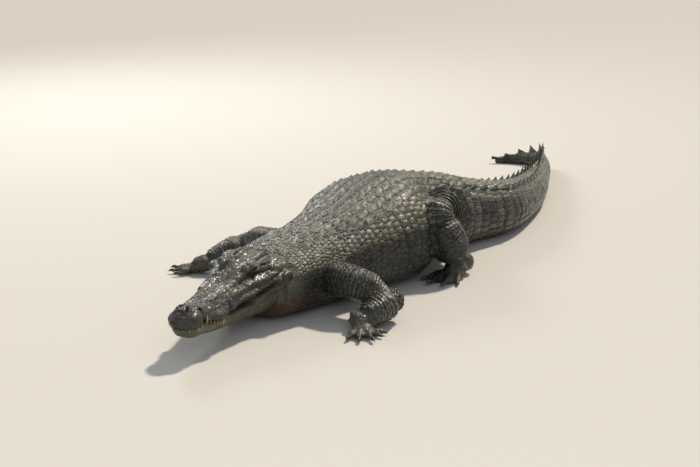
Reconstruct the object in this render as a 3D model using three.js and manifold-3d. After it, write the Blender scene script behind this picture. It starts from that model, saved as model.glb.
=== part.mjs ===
// A grown crocodile lying on its belly with its head a little raised, at life size.
// Millimetres, +Z up. The snout points to -X and the animal's left side is towards -Y.
// It is still: the parts are separate solids with thin gaps between them, and nothing turns.

import * as THREE from 'three';
import { mergeVertices } from 'three/addons/utils/BufferGeometryUtils.js';
import Module from 'manifold-3d';

const wasm = await Module();
wasm.setup();

// ---------------------------------------------------------------- driving dimensions

const gap = 0.3;                  // between neighbouring parts
const headLength = 356;           // snout tip to the back of the skull table
const snoutTip = { x: -796, y: 48, z: 80 };
const headTurn = 0.164;           // radians, how far the snout points to the animal's left
const headLift = -0.036;          // radians, positive raises the snout
const headRoll = 0.069;           // radians, positive lowers the left side

// The line that neck, trunk and tail follow over the ground, from the skull to the tail tip.
const spinePlan = [
  [-505, 92], [-446, 98], [-360, 90], [-270, 72], [-130, 64], [0, 72], [110, 82], [210, 76],
  [310, 50], [400, 18], [480, -8], [640, 2], [800, 37], [1013, 115], [1170, 178], [1272, 238],
  [1296, 320], [1252, 396],
];
const skullOffset = 60;           // the spine line starts this far inside the skull

// Sections across that line. at: distance behind the skull. line: its height over the floor.
// wide: half width. top and low: how far the back rises and the belly drops from the line.
// pinch: how much narrower the section is at its top.
const bodyRows = [
  { at: -60, line: 90, wide: 102, top: 40, low: 78, pinch: 0 },
  { at: 40, line: 90, wide: 116, top: 74, low: 92, pinch: 0 },
  { at: 190, line: 98, wide: 132, top: 94, low: 104, pinch: 0 },
  { at: 300, line: 104, wide: 154, top: 112, low: 110, pinch: 0 },
  { at: 380, line: 106, wide: 180, top: 131, low: 114, pinch: 0 },
  { at: 440, line: 106, wide: 178, top: 140, low: 114, pinch: 0 },
  { at: 490, line: 106, wide: 154, top: 143, low: 113, pinch: 0.01 },
  { at: 540, line: 106, wide: 133, top: 138, low: 112, pinch: 0.03 },
  { at: 600, line: 105, wide: 126, top: 127, low: 110, pinch: 0.05 },
  { at: 670, line: 102, wide: 120, top: 115, low: 106, pinch: 0.07 },
  { at: 770, line: 96, wide: 108, top: 100, low: 98, pinch: 0.1 },
  { at: 890, line: 82, wide: 92, top: 82, low: 84, pinch: 0.14 },
  { at: 1115, line: 62, wide: 66, top: 62, low: 64, pinch: 0.2 },
  { at: 1275, line: 54, wide: 53, top: 54, low: 56, pinch: 0.25 },
  { at: 1500, line: 44, wide: 38, top: 42, low: 45, pinch: 0.3 },
  { at: 1700, line: 33, wide: 25, top: 32, low: 34, pinch: 0.35 },
  { at: 1830, line: 24, wide: 17, top: 24, low: 25, pinch: 0.4 },
  { at: 1990, line: 8, wide: 5, top: 7, low: 8, pinch: 0.3 },
];
const cuts = {
  neck: [-40, 160], chest: [160, 340], belly: [340, 560], hips: [560, 790],
  tail_1: [790, 980], tail_2: [980, 1180], tail_3: [1180, 1380], tail_4: [1380, 1570],
  tail_5: [1570, 1760], tail_6: [1760, 1960],
};

// The crest of upright scutes: two rows that meet in one, to the end of the tail.
const crest = {
  from: 760, meet: 1640, low: 1900, to: 1940, pitch: 44, tallest: 42, least: 9, spread: 0.62,
};

// The upper head, as shares of headLength. at: behind the snout tip. top: mid-line height.
// ridge: edge of the flat top. cheek: slope below it. lip: half width at the mouth.
const upperRows = [
  { at: 0.0, top: 0.07, ridge: 0.03, ridgeUp: 0.064, cheek: 0.045, cheekUp: 0.035, lip: 0.045 },
  { at: 0.04, top: 0.105, ridge: 0.05, ridgeUp: 0.094, cheek: 0.085, cheekUp: 0.05, lip: 0.088 },
  { at: 0.1, top: 0.124, ridge: 0.056, ridgeUp: 0.112, cheek: 0.105, cheekUp: 0.056, lip: 0.112 },
  { at: 0.17, top: 0.102, ridge: 0.055, ridgeUp: 0.092, cheek: 0.09, cheekUp: 0.045, lip: 0.095 },
  { at: 0.3, top: 0.1, ridge: 0.07, ridgeUp: 0.094, cheek: 0.132, cheekUp: 0.045, lip: 0.148 },
  { at: 0.46, top: 0.113, ridge: 0.075, ridgeUp: 0.107, cheek: 0.132, cheekUp: 0.055, lip: 0.147 },
  { at: 0.6, top: 0.134, ridge: 0.08, ridgeUp: 0.136, cheek: 0.16, cheekUp: 0.068, lip: 0.178 },
  { at: 0.72, top: 0.162, ridge: 0.1, ridgeUp: 0.18, cheek: 0.19, cheekUp: 0.076, lip: 0.208 },
  { at: 0.82, top: 0.182, ridge: 0.115, ridgeUp: 0.196, cheek: 0.218, cheekUp: 0.08, lip: 0.236 },
  { at: 0.92, top: 0.192, ridge: 0.13, ridgeUp: 0.194, cheek: 0.238, cheekUp: 0.08, lip: 0.25 },
  { at: 1.03, top: 0.185, ridge: 0.132, ridgeUp: 0.176, cheek: 0.246, cheekUp: 0.08, lip: 0.254 },
];
// The wavy line of the closed mouth.
const mouthRows = [
  { at: 0.0, up: 0.0 }, { at: 0.1, up: 0.0 }, { at: 0.17, up: 0.018 }, { at: 0.3, up: -0.022 },
  { at: 0.46, up: 0.014 }, { at: 0.68, up: -0.004 }, { at: 0.86, up: 0.034 }, { at: 1.2, up: 0.07 },
];
// The lower jaw. wide: half width at the mouth. deep: drop of its underside.
const lowerRows = [
  { at: 0.01, wide: 0.03, deep: 0.05 }, { at: 0.05, wide: 0.078, deep: 0.078 },
  { at: 0.1, wide: 0.098, deep: 0.09 }, { at: 0.17, wide: 0.1, deep: 0.098 },
  { at: 0.3, wide: 0.124, deep: 0.118 }, { at: 0.46, wide: 0.14, deep: 0.138 },
  { at: 0.6, wide: 0.168, deep: 0.15 }, { at: 0.75, wide: 0.212, deep: 0.164 },
  { at: 0.9, wide: 0.246, deep: 0.18 }, { at: 1.02, wide: 0.256, deep: 0.19 },
];
const jowl = { at: 1.0, out: 0.218, up: 0.09, size: [0.09, 0.04, 0.05] };
const jawEnd = { at: 1.03, out: 0.226, up: 0.015, size: [0.15, 0.045, 0.055] };
const upperEnd = 1.02;            // share of headLength where the skull meets the neck
const lowerEnd = 0.97;
const eye = { at: 0.735, out: 0.1, up: 0.166, radius: 12.5, lid: 4.5 };

// Legs: joints over the floor, and half thicknesses along each length.
const legs = {
  left: {
    arm: [[-335, 0, 90], [-342, -95, 88], [-312, -170, 60]],
    forearm: [[-304, -174, 48], [-358, -172, 42], [-408, -152, 27]],
    hand: [-406, -152, 24], handTurn: 4.1,
    thigh: [[215, 0, 115], [140, -56, 154], [54, -86, 170]],
    shank: [[34, -90, 166], [42, -112, 106], [88, -130, 46]],
    foot: [104, -130, 30], footTurn: 3.14,
  },
  right: {
    arm: [[-262, 130, 100], [-225, 240, 100], [-178, 338, 80]],
    forearm: [[-174, 344, 72], [-214, 382, 48], [-268, 416, 27]],
    hand: [-266, 416, 24], handTurn: 1.84,
    thigh: [[235, 130, 112], [175, 210, 126], [110, 260, 128]],
    shank: [[106, 264, 124], [120, 288, 86], [152, 314, 46]],
    foot: [152, 314, 30], footTurn: 2.92,
  },
};
const roundish = [0.95, 0.95];    // height of a limb as a share of its width, at both ends
const armThick = [48, 45, 42];
const forearmThick = [42, 39, 26];
const thighThick = [72, 64, 48];
const shankThick = [54, 58, 42];
const elbow = 34;                 // radius of the elbow and of the knee
const knee = 50;
const palms = {
  hand: { long: 40, wide: 32, thick: 19, wrist: 22, joint: 27, webbed: 0.35 },
  foot: { long: 72, wide: 38, thick: 22, wrist: 28, joint: 31, webbed: 0.72 },
};

// Digits: spread from the palm, length, and thickness. The first three carry claws.
const handDigits = [
  { turn: -0.78, reach: 42, thick: 10.5 }, { turn: -0.38, reach: 54, thick: 11 },
  { turn: 0, reach: 58, thick: 11 }, { turn: 0.4, reach: 52, thick: 9.5 },
  { turn: 0.82, reach: 42, thick: 8.5 },
];
const footDigits = [
  { turn: -0.42, reach: 80, thick: 12.5 }, { turn: -0.14, reach: 96, thick: 13 },
  { turn: 0.16, reach: 92, thick: 12 }, { turn: 0.48, reach: 76, thick: 10 },
];
const clawLength = 16;
const web = { low: 4, thick: 4 };  // the web between digits: its height over the floor, thickness

// Facets: how many sides go round a shape, then how many steps go along it.
const facets = {
  skull: [18, 11], jaw: [14, 9], lump: [8, 5], eye: [9, 6], trunk: [20, 5], tail: [12, 4],
  limb: [9, 4], palm: [8, 2], joint: [6, 4], digit: [5, 2],
};

// ---------------------------------------------------------------- finishes

function finish(colour, roughness) {
  return new THREE.MeshStandardMaterial({ color: colour, roughness, metalness: 0 });
}
const hide = finish('#4b4a3d', 0.6);
const jawHide = finish('#5c5d4a', 0.6);
const horn = finish('#4a4438', 0.5);
const eyeball = finish('#2a1d12', 0.2);

// ---------------------------------------------------------------- helpers

// Value of one column at a place along the rows, as a smooth curve through them.
function valueAt(rows, key, at) {
  const place = THREE.MathUtils.clamp(at, rows[0].at, rows[rows.length - 1].at);
  let k = 0;
  while (k < rows.length - 2 && rows[k + 1].at < place) k += 1;
  const slope = (i) => {
    const a = rows[Math.max(i - 1, 0)];
    const b = rows[Math.min(i + 1, rows.length - 1)];
    return (b[key] - a[key]) / (b.at - a.at);
  };
  const span = rows[k + 1].at - rows[k].at;
  const t = (place - rows[k].at) / span;
  const t2 = t * t;
  const t3 = t2 * t;
  return (2 * t3 - 3 * t2 + 1) * rows[k][key] + (t3 - 2 * t2 + t) * span * slope(k)
    + (3 * t2 - 2 * t3) * rows[k + 1][key] + (t3 - t2) * span * slope(k + 1);
}

// Keeps the sign and bends the size, which makes a circle squarer or more pointed.
function bend(value, power) {
  return Math.sign(value) * Math.abs(value) ** power;
}

// A closed solid from a geometry.
function solid(geometry) {
  const bare = geometry.index ? geometry.clone() : mergeVertices(geometry.clone());
  bare.deleteAttribute('normal');
  bare.deleteAttribute('uv');
  const merged = mergeVertices(bare, 1e-3);
  const position = merged.attributes.position;
  const index = Array.from(merged.index.array);
  const corner = [new THREE.Vector3(), new THREE.Vector3(), new THREE.Vector3()];
  const kept = [];
  let volume = 0;
  for (let i = 0; i < index.length; i += 3) {
    const [a, b, c] = [index[i], index[i + 1], index[i + 2]];
    if (a === b || b === c || a === c) continue;
    corner.forEach((v, j) => v.fromBufferAttribute(position, [a, b, c][j]));
    volume += corner[0].dot(corner[1].clone().cross(corner[2]));
    kept.push(a, b, c);
  }
  if (volume < 0) {
    for (let i = 0; i < kept.length; i += 3) [kept[i], kept[i + 1]] = [kept[i + 1], kept[i]];
  }
  return new wasm.Manifold(new wasm.Mesh({
    numProp: 3,
    vertProperties: new Float32Array(position.array),
    triVerts: new Uint32Array(kept),
  }));
}

// A closed tube-like solid: a cylinder whose points are placed by place(along, turn, radius),
// with along from 0 to 1, turn from 0 at the top, and radius 0 at the core and 1 at the skin.
function loft(around, steps, place) {
  const shape = new THREE.CylinderGeometry(1, 1, 1, around, steps);
  const points = shape.attributes.position;
  for (let i = 0; i < points.count; i += 1) {
    const x = points.getX(i);
    const z = points.getZ(i);
    const radius = Math.min(1, Math.hypot(x, z));
    const turn = Math.round(Math.atan2(x, z) / (2 * Math.PI) * around) / around * 2 * Math.PI;
    const spot = place(points.getY(i) + 0.5, radius > 0.5 ? turn : 0, radius > 0.5 ? 1 : 0);
    points.setXYZ(i, spot.x, spot.y, spot.z);
  }
  return solid(shape);
}

function box(width, depth, height, x, y, z) {
  return solid(new THREE.BoxGeometry(width, depth, height).translate(x, y, z));
}

const underfloor = box(6000, 6000, 1000, 0, 0, -500);

function onFloor(shape) {
  return shape.subtract(underfloor);
}

// ---------------------------------------------------------------- neck, trunk and tail

const spine = new THREE.CatmullRomCurve3(
  spinePlan.map(([x, y]) => new THREE.Vector3(x, y, 0)), false, 'centripetal');
spine.arcLengthDivisions = 600;
const spineLength = spine.getLength();

// A point at a distance behind the skull, so far to the animal's left, at a height.
function bodyPoint(at, left, height) {
  const u = THREE.MathUtils.clamp((at + skullOffset) / spineLength, 0, 1);
  const centre = spine.getPointAt(u);
  const way = spine.getTangentAt(u);
  const past = at + skullOffset - u * spineLength;
  return new THREE.Vector3(
    centre.x + way.x * past + way.y * left, centre.y + way.y * past - way.x * left, height);
}

// Outline of the body's section: turn 0 is the middle of the back.
function bodySkin(at, turn, radius, grow) {
  const rise = Math.cos(turn);
  const upward = rise > 0;
  const tall = valueAt(bodyRows, upward ? 'top' : 'low', at) + grow;
  const wide = valueAt(bodyRows, 'wide', at) + grow;
  const up = bend(rise, upward ? 0.9 : 0.7) * tall * radius;
  const narrow = upward ? 1 - valueAt(bodyRows, 'pinch', at) * Math.abs(rise) : 1;
  const left = bend(Math.sin(turn), 0.85) * wide * narrow * radius;
  return bodyPoint(at, left, valueAt(bodyRows, 'line', at) + up);
}

function bodyLength([from, to], grow, around, steps) {
  return loft(around, steps, (along, turn, radius) => (
    bodySkin(from + gap / 2 + (to - from - gap) * along, turn, radius, grow)));
}

// One upright scute: a thin leaning pyramid standing on the tail.
function scute(at, left, height, long, thick) {
  const shape = new THREE.ConeGeometry(0.5, 1, 4, 1);
  shape.rotateY(Math.PI / 4);
  shape.rotateX(Math.PI / 2);
  shape.scale(long * Math.SQRT2, thick * Math.SQRT2, height);
  shape.translate(0, 0, height / 2);
  shape.applyMatrix4(new THREE.Matrix4().makeShear(0, 0, 0, 0, 0.55, 0));
  const u = (at + skullOffset) / spineLength;
  const way = spine.getTangentAt(u);
  const root = bodyPoint(at, left, valueAt(bodyRows, 'line', at));
  const share = Math.abs(left) / valueAt(bodyRows, 'wide', at);
  root.z += valueAt(bodyRows, 'top', at) * (1 - share * share) ** 0.5 - 6;
  shape.rotateZ(Math.atan2(way.y, way.x));
  shape.translate(root.x, root.y, root.z);
  return solid(shape);
}

function crestScutes([from, to]) {
  const made = [];
  const count = Math.round((crest.to - crest.from) / crest.pitch);
  for (let k = 0; k <= count; k += 1) {
    const at = crest.from + k * crest.pitch;
    const long = crest.pitch * 0.8;
    if (at - long * 0.6 < from || at + long * 0.7 > to) continue;
    const wide = valueAt(bodyRows, 'wide', at);
    const near = THREE.MathUtils.clamp((crest.meet - at) / (crest.meet - crest.from), 0, 1);
    const grown = 0.05 + 0.95 * Math.min(1, (1 - near) * 1.1) ** 2.2;
    const fade = THREE.MathUtils.clamp((crest.low - at) / 160, 0, 1) ** 1.2;
    const height = crest.tallest * grown * fade + crest.least;
    if (near > 0) {
      for (const side of [-1, 1]) {
        made.push(scute(at, side * wide * crest.spread * near ** 0.6, height, long, 7));
      }
    } else {
      made.push(scute(at, 0, height, long, 7));
    }
  }
  return made;
}

// ---------------------------------------------------------------- head

const headPose = new THREE.Matrix4().compose(
  new THREE.Vector3(snoutTip.x, snoutTip.y, snoutTip.z),
  new THREE.Quaternion().setFromEuler(new THREE.Euler(headRoll, headLift, headTurn, 'ZYX')),
  new THREE.Vector3(1, 1, 1));

function headPoint(at, left, up) {
  return new THREE.Vector3(at * headLength, -left * headLength, up * headLength);
}

function mouthUp(at) {
  return valueAt(mouthRows, 'up', at);
}

// Outline of the upper head, right round: over the top, then flat along the mouth.
function upperSkin(at, turn, radius, grow) {
  const side = turn < 0 ? -1 : 1;
  const share = Math.abs(turn) / Math.PI;
  const get = (key) => valueAt(upperRows, key, at);
  const swell = grow / headLength;
  const mouth = mouthUp(at) + gap / 2 / headLength - swell;
  const edge = 2 / 3;
  const core = new THREE.Vector2(0, (get('top') + mouth) / 2);
  let spot;
  if (share <= edge + 1e-6) {
    const over = new THREE.SplineCurve([
      new THREE.Vector2(0, get('top') + swell),
      new THREE.Vector2(get('ridge') * 0.6, THREE.MathUtils.lerp(get('top'), get('ridgeUp'), 0.5) + swell),
      new THREE.Vector2(get('ridge') + swell, get('ridgeUp') + swell),
      new THREE.Vector2(get('cheek') + swell, get('cheekUp') + mouthUp(at) + swell),
      new THREE.Vector2(get('lip') + swell, mouth),
    ]);
    spot = over.getPoint(share / edge);
  } else {
    spot = new THREE.Vector2((get('lip') + swell) * (1 - (share - edge) / (1 - edge)), mouth);
  }
  spot.lerp(core, 1 - radius);
  return headPoint(at, spot.x * side, spot.y);
}

function upperHead(grow) {
  let shape = loft(...facets.skull, (along, turn, radius) => (
    upperSkin(upperEnd * along ** 1.2 + (along === 1 ? grow / headLength : 0), turn, radius, grow)));
  for (const side of [-1, 1]) {
    const bulge = new THREE.SphereGeometry(1, ...facets.lump);
    bulge.scale(...jowl.size.map((size) => size * headLength + grow));
    bulge.translate(jowl.at * headLength, -side * jowl.out * headLength, jowl.up * headLength);
    shape = shape.add(solid(bulge));
  }
  return shape;
}

// Outline of the lower jaw: flat along the mouth, then round below.
function lowerSkin(at, turn, radius, grow) {
  const side = turn < 0 ? -1 : 1;
  const share = Math.abs(turn) / Math.PI;
  const swell = grow / headLength;
  const wide = valueAt(lowerRows, 'wide', at) + swell;
  const deep = valueAt(lowerRows, 'deep', at) + swell;
  const mouth = mouthUp(at) - gap / 2 / headLength + swell;
  const edge = 1 / 3;
  let spot;
  if (share <= edge + 1e-6) {
    spot = new THREE.Vector2(wide * share / edge, mouth);
  } else {
    const round = (1 - (share - edge) / (1 - edge)) * Math.PI / 2;
    spot = new THREE.Vector2(wide * bend(Math.sin(round), 0.6), mouth - (deep + mouth) * bend(Math.cos(round), 0.75));
  }
  spot.lerp(new THREE.Vector2(0, mouth - deep / 2), 1 - radius);
  return headPoint(at, spot.x * side, spot.y);
}

function lowerJaw(grow) {
  let shape = loft(...facets.jaw, (along, turn, radius) => (
    lowerSkin(0.01 + (lowerEnd - 0.01) * along ** 1.2 + (along === 1 ? grow / headLength : 0),
      turn, radius, grow)));
  for (const side of [-1, 1]) {
    const lobe = new THREE.SphereGeometry(1, ...facets.lump);
    lobe.scale(...jawEnd.size.map((size) => size * headLength + grow));
    lobe.translate(jawEnd.at * headLength, -side * jawEnd.out * headLength, jawEnd.up * headLength);
    shape = shape.add(solid(lobe));
  }
  return shape;
}

// A tooth: a cone whose root is at the gum. pointing is 1 for up and -1 for down.
function tooth(at, left, length, pointing) {
  const thick = length * 0.2;
  const shape = new THREE.ConeGeometry(thick, length, 5, 1);
  shape.rotateX(pointing * Math.PI / 2);
  const gum = mouthUp(at) * headLength;
  shape.translate(at * headLength, -left * headLength, gum + pointing * length * 0.3);
  return solid(shape);
}

const upperTeeth = [
  { at: 0.035, out: 0.066, length: 12 }, { at: 0.075, out: 0.1, length: 15 },
  { at: 0.12, out: 0.105, length: 14 }, { at: 0.215, out: 0.105, length: 13 },
  { at: 0.26, out: 0.126, length: 15 }, { at: 0.31, out: 0.139, length: 26 },
  { at: 0.36, out: 0.14, length: 14 },
];
const fourthTooth = { at: 0.17, out: 0.102, length: 30 };
const toothRoom = 1.08;           // the pit for a tooth, as a share of its size

function placed(shape, pose) {
  return shape.transform(pose.elements);
}

// ---------------------------------------------------------------- legs

// A limb length along a curve through joints, with half thicknesses given along it.
// flats: height as a share of width, at its two ends.
function limbLength(joints, thick, grow, [around, steps], flats) {
  const way = new THREE.CatmullRomCurve3(joints.map((p) => new THREE.Vector3(...p)));
  const sizes = thick.map((size, i) => ({ at: i / (thick.length - 1), size }));
  const up = new THREE.Vector3(0, 0, 1);
  return loft(around, steps, (along, turn, radius) => {
    const round = Math.sqrt(Math.max(0, 1 - (2 * Math.abs(along - 0.5)) ** 8));
    const spread = Math.max(round, 0.45);
    const size = (valueAt(sizes, 'size', along) + grow) * spread * radius;
    const centre = way.getPointAt(along);
    const tangent = way.getTangentAt(along);
    centre.addScaledVector(tangent, (along - 0.5) * 2 * grow);
    const across = new THREE.Vector3().crossVectors(tangent, up).normalize();
    const lift = new THREE.Vector3().crossVectors(across, tangent).normalize();
    centre.addScaledVector(across, Math.sin(turn) * size);
    const flat = THREE.MathUtils.lerp(flats[0], flats[1], along);
    centre.addScaledVector(lift, Math.cos(turn) * size * flat);
    return centre;
  });
}

function joint([x, y, z], radius) {
  const shape = new THREE.SphereGeometry(radius, ...facets.joint);
  shape.translate(x, y, z);
  return solid(shape);
}

// Palm or sole with its digits and web, lying on the floor, pointing along turn.
function paw(base, turn, digits, palm, side) {
  const [x, y, z] = base;
  const dir = (angle) => new THREE.Vector3(Math.cos(angle), Math.sin(angle), 0);
  const start = new THREE.Vector3(x, y, z);
  const knuckle = start.clone().addScaledVector(dir(turn), palm.long);
  knuckle.z = palm.thick * 0.8;
  const wristWide = palm.wide * 0.8;
  const flats = [palm.wrist / wristWide, palm.thick / palm.wide];
  let shape = limbLength(
    [start.toArray(), start.clone().lerp(knuckle, 0.5).toArray(), knuckle.toArray()],
    [wristWide, palm.wide * 0.9, palm.wide], 0, facets.palm, flats);
  shape = shape.add(joint([x, y, Math.max(z, palm.joint)], palm.joint));
  const tips = [];
  let last = null;
  for (const digit of digits) {
    const angle = turn + digit.turn * side;
    const root = start.clone().addScaledVector(dir(turn), palm.long * 0.62);
    root.addScaledVector(dir(turn + Math.PI / 2 * side), digit.turn * palm.wide * 0.75);
    root.z = palm.thick * 0.75;
    const mid = root.clone().addScaledVector(dir(angle), digit.reach * 0.5);
    mid.z = digit.thick * 1.15;
    const tip = root.clone().addScaledVector(dir(angle), digit.reach);
    tip.z = digit.thick * 0.72;
    shape = shape.add(limbLength(
      [root.toArray(), mid.toArray(), tip.toArray()],
      [digit.thick * 1.15, digit.thick, digit.thick * 0.8], 0, facets.digit, roundish));
    const edge = root.clone().lerp(tip, palm.webbed);
    if (last) shape = shape.add(webBetween([last.root, last.edge, root, edge]));
    last = { root, edge };
    tips.push({ tip, angle, thick: digit.thick });
  }
  return { shape, tips };
}

// A flat web with its corners on two digits.
function webBetween(corners) {
  const points = corners.flatMap(({ x, y }) => [[x, y, web.low], [x, y, web.low + web.thick]]);
  return wasm.Manifold.hull(points);
}

function claw({ tip, angle, thick }) {
  const shape = new THREE.ConeGeometry(thick * 0.5, clawLength, 5, 1);
  shape.rotateZ(-Math.PI / 2);
  shape.translate(clawLength / 2, 0, 0);
  shape.rotateY(0.2);
  shape.rotateZ(angle);
  shape.translate(tip.x, tip.y, tip.z + 1);
  return solid(shape);
}

// ---------------------------------------------------------------- building

const group = new THREE.Group();

function addPart(name, shape, material) {
  const made = shape.getMesh();
  const geometry = new THREE.BufferGeometry();
  geometry.setAttribute('position', new THREE.BufferAttribute(made.vertProperties, 3));
  geometry.setIndex(new THREE.BufferAttribute(made.triVerts, 1));
  geometry.computeBoundingBox();
  const centre = geometry.boundingBox.getCenter(new THREE.Vector3());
  geometry.translate(-centre.x, -centre.y, -centre.z);
  geometry.computeVertexNormals();
  const mesh = new THREE.Mesh(geometry, material);
  mesh.name = name;
  mesh.position.copy(centre);
  group.add(mesh);
}

// Head: the skull and jaw meet along the mouth, and each tooth has room in the other one.
let skull = upperHead(0).subtract(lowerJaw(gap * 0.8));
let jaw = lowerJaw(0);
for (const side of [-1, 1]) {
  const socket = new THREE.SphereGeometry(eye.radius + eye.lid, ...facets.eye);
  socket.scale(1.6, 1, 1);
  socket.translate(eye.at * headLength, -side * (eye.out - 0.026) * headLength, (eye.up - 0.006) * headLength);
  skull = skull.add(solid(socket));
  const hole = new THREE.SphereGeometry(eye.radius + gap, ...facets.eye);
  hole.translate(eye.at * headLength, -side * eye.out * headLength, eye.up * headLength);
  skull = skull.subtract(solid(hole));
  const ball = new THREE.SphereGeometry(eye.radius, ...facets.eye);
  ball.translate(eye.at * headLength, -side * eye.out * headLength, eye.up * headLength);
  addPart(side > 0 ? 'eye_left' : 'eye_right', placed(solid(ball), headPose), eyeball);
  for (const { at, out, length } of upperTeeth) {
    skull = skull.add(tooth(at, side * out, length, -1));
    jaw = jaw.subtract(tooth(at, side * out, length * toothRoom, -1));
  }
  const { at, out, length } = fourthTooth;
  jaw = jaw.add(tooth(at, side * out, length, 1));
  skull = skull.subtract(tooth(at, side * out, length * toothRoom, 1));
}
addPart('head_upper', placed(skull, headPose), hide);
addPart('lower_jaw', placed(jaw, headPose), jawHide);

const headRoom = placed(upperHead(gap).add(lowerJaw(gap)), headPose);

// Neck, trunk and tail
function bodyPiece(name, [from, to], grow) {
  return bodyLength([from, to], grow, ...(name.startsWith('tail') ? facets.tail : facets.trunk));
}
const body = {};
let trunkRoom = bodyPiece('neck', [cuts.neck[0], cuts.neck[1] + gap], gap);
for (const [name, span] of Object.entries(cuts)) {
  let shape = bodyPiece(name, span, 0);
  if (name.startsWith('tail') || name === 'hips') {
    for (const blade of crestScutes(span)) shape = shape.add(blade);
  }
  if (name === 'neck') shape = shape.subtract(headRoom);
  body[name] = onFloor(shape);
  if (name !== 'neck' && !name.startsWith('tail')) {
    trunkRoom = trunkRoom.add(bodyPiece(name, [span[0] - gap, span[1] + gap], gap));
  }
}

// Legs
for (const [sideName, leg] of Object.entries(legs)) {
  const side = sideName === 'left' ? 1 : -1;
  const arm = limbLength(leg.arm, armThick, 0, facets.limb, roundish).subtract(trunkRoom);
  const armRoom = limbLength(leg.arm, armThick, gap, facets.limb, roundish);
  const forearm = limbLength(leg.forearm, forearmThick, 0, facets.limb, roundish)
    .add(joint(leg.forearm[0], elbow));
  const forearmRoom = limbLength(leg.forearm, forearmThick, gap, facets.limb, roundish);
  const thigh = limbLength(leg.thigh, thighThick, 0, facets.limb, roundish).subtract(trunkRoom);
  const thighRoom = limbLength(leg.thigh, thighThick, gap, facets.limb, roundish);
  const shank = limbLength(leg.shank, shankThick, 0, facets.limb, roundish)
    .add(joint(leg.shank[0], knee));
  const shankRoom = limbLength(leg.shank, shankThick, gap, facets.limb, roundish);
  const hand = paw(leg.hand, leg.handTurn, handDigits, palms.hand, side);
  const foot = paw(leg.foot, leg.footTurn, footDigits, palms.foot, side);
  addPart(`upper_arm_${sideName}`, onFloor(arm), hide);
  addPart(`forearm_${sideName}`, onFloor(forearm.subtract(armRoom).subtract(trunkRoom)), hide);
  addPart(`thigh_${sideName}`, onFloor(thigh), hide);
  addPart(`shank_${sideName}`, onFloor(shank.subtract(thighRoom).subtract(trunkRoom)), hide);
  const pawParts = { hand: [hand, forearmRoom], foot: [foot, shankRoom] };
  for (const [name, [made, room]] of Object.entries(pawParts)) {
    let shape = made.shape.subtract(room).subtract(trunkRoom);
    for (let k = 0; k < 3; k += 1) {
      const nail = onFloor(claw(made.tips[k]));
      shape = shape.subtract(claw({ ...made.tips[k], thick: made.tips[k].thick + 1 }));
      addPart(`${name}_${sideName}_claw_${k + 1}`, nail, horn);
    }
    addPart(`${name}_${sideName}`, onFloor(shape), hide);
  }
}
for (const [name, shape] of Object.entries(body)) addPart(name, shape, hide);

// Origin: the middle of the whole animal's box, on the floor.
const bounds = new THREE.Box3().setFromObject(group);
const middle = bounds.getCenter(new THREE.Vector3());
group.position.set(-middle.x, -middle.y, -bounds.min.z);

export default group;
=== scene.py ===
"""A life-size crocodile lying on its belly: one skin, with the scales, crest, teeth, claws and
eyes modelled over it. Lengths in the tables are millimetres and the scene is in metres."""

import math

import bmesh
import bpy
import numpy as np
from mathutils import Matrix, Vector
from mathutils.bvhtree import BVHTree
from mathutils.kdtree import KDTree


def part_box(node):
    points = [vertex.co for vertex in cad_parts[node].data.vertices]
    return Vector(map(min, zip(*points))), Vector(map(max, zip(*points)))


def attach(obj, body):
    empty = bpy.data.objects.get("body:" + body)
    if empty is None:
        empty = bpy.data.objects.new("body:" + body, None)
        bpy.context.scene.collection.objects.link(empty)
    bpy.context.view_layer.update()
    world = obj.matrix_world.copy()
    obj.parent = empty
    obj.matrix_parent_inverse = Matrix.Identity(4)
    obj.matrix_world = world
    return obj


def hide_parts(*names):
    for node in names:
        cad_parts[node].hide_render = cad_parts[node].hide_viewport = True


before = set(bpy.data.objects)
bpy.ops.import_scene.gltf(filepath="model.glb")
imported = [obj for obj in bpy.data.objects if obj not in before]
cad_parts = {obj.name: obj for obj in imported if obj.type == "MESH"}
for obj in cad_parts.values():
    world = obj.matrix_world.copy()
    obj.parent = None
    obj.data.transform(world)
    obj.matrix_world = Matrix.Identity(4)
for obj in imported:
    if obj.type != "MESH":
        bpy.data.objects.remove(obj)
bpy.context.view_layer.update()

bl_info = {
    "name": "Crocodile",
    "version": (1, 0, 0),
    "blender": (4, 5, 0),
    "location": "View3D > Sidebar > Crocodile",
    "description": "Dresses a crocodile's solids with skin, scales, crest, teeth, claws and eyes",
    "category": "Add Mesh",
}

MM = 0.001
BODY = "root"

# ---------------------------------------------------------------- the animal's own measures

HEAD_LENGTH = 356
SNOUT_TIP = (-796, 48, 80)
HEAD_TURN, HEAD_LIFT, HEAD_ROLL = 0.164, -0.036, 0.069
EYE = {"at": 0.735, "out": 0.1, "up": 0.166, "radius": 12.5}
SKULL_OFFSET = 60                 # the spine line starts this far inside the skull
SPINE_PLAN = [
    (-505, 92), (-446, 98), (-360, 90), (-270, 72), (-130, 64), (0, 72), (110, 82), (210, 76),
    (310, 50), (400, 18), (480, -8), (640, 2), (800, 37), (1013, 115), (1170, 178), (1272, 238),
    (1296, 320), (1252, 396),
]
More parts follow.
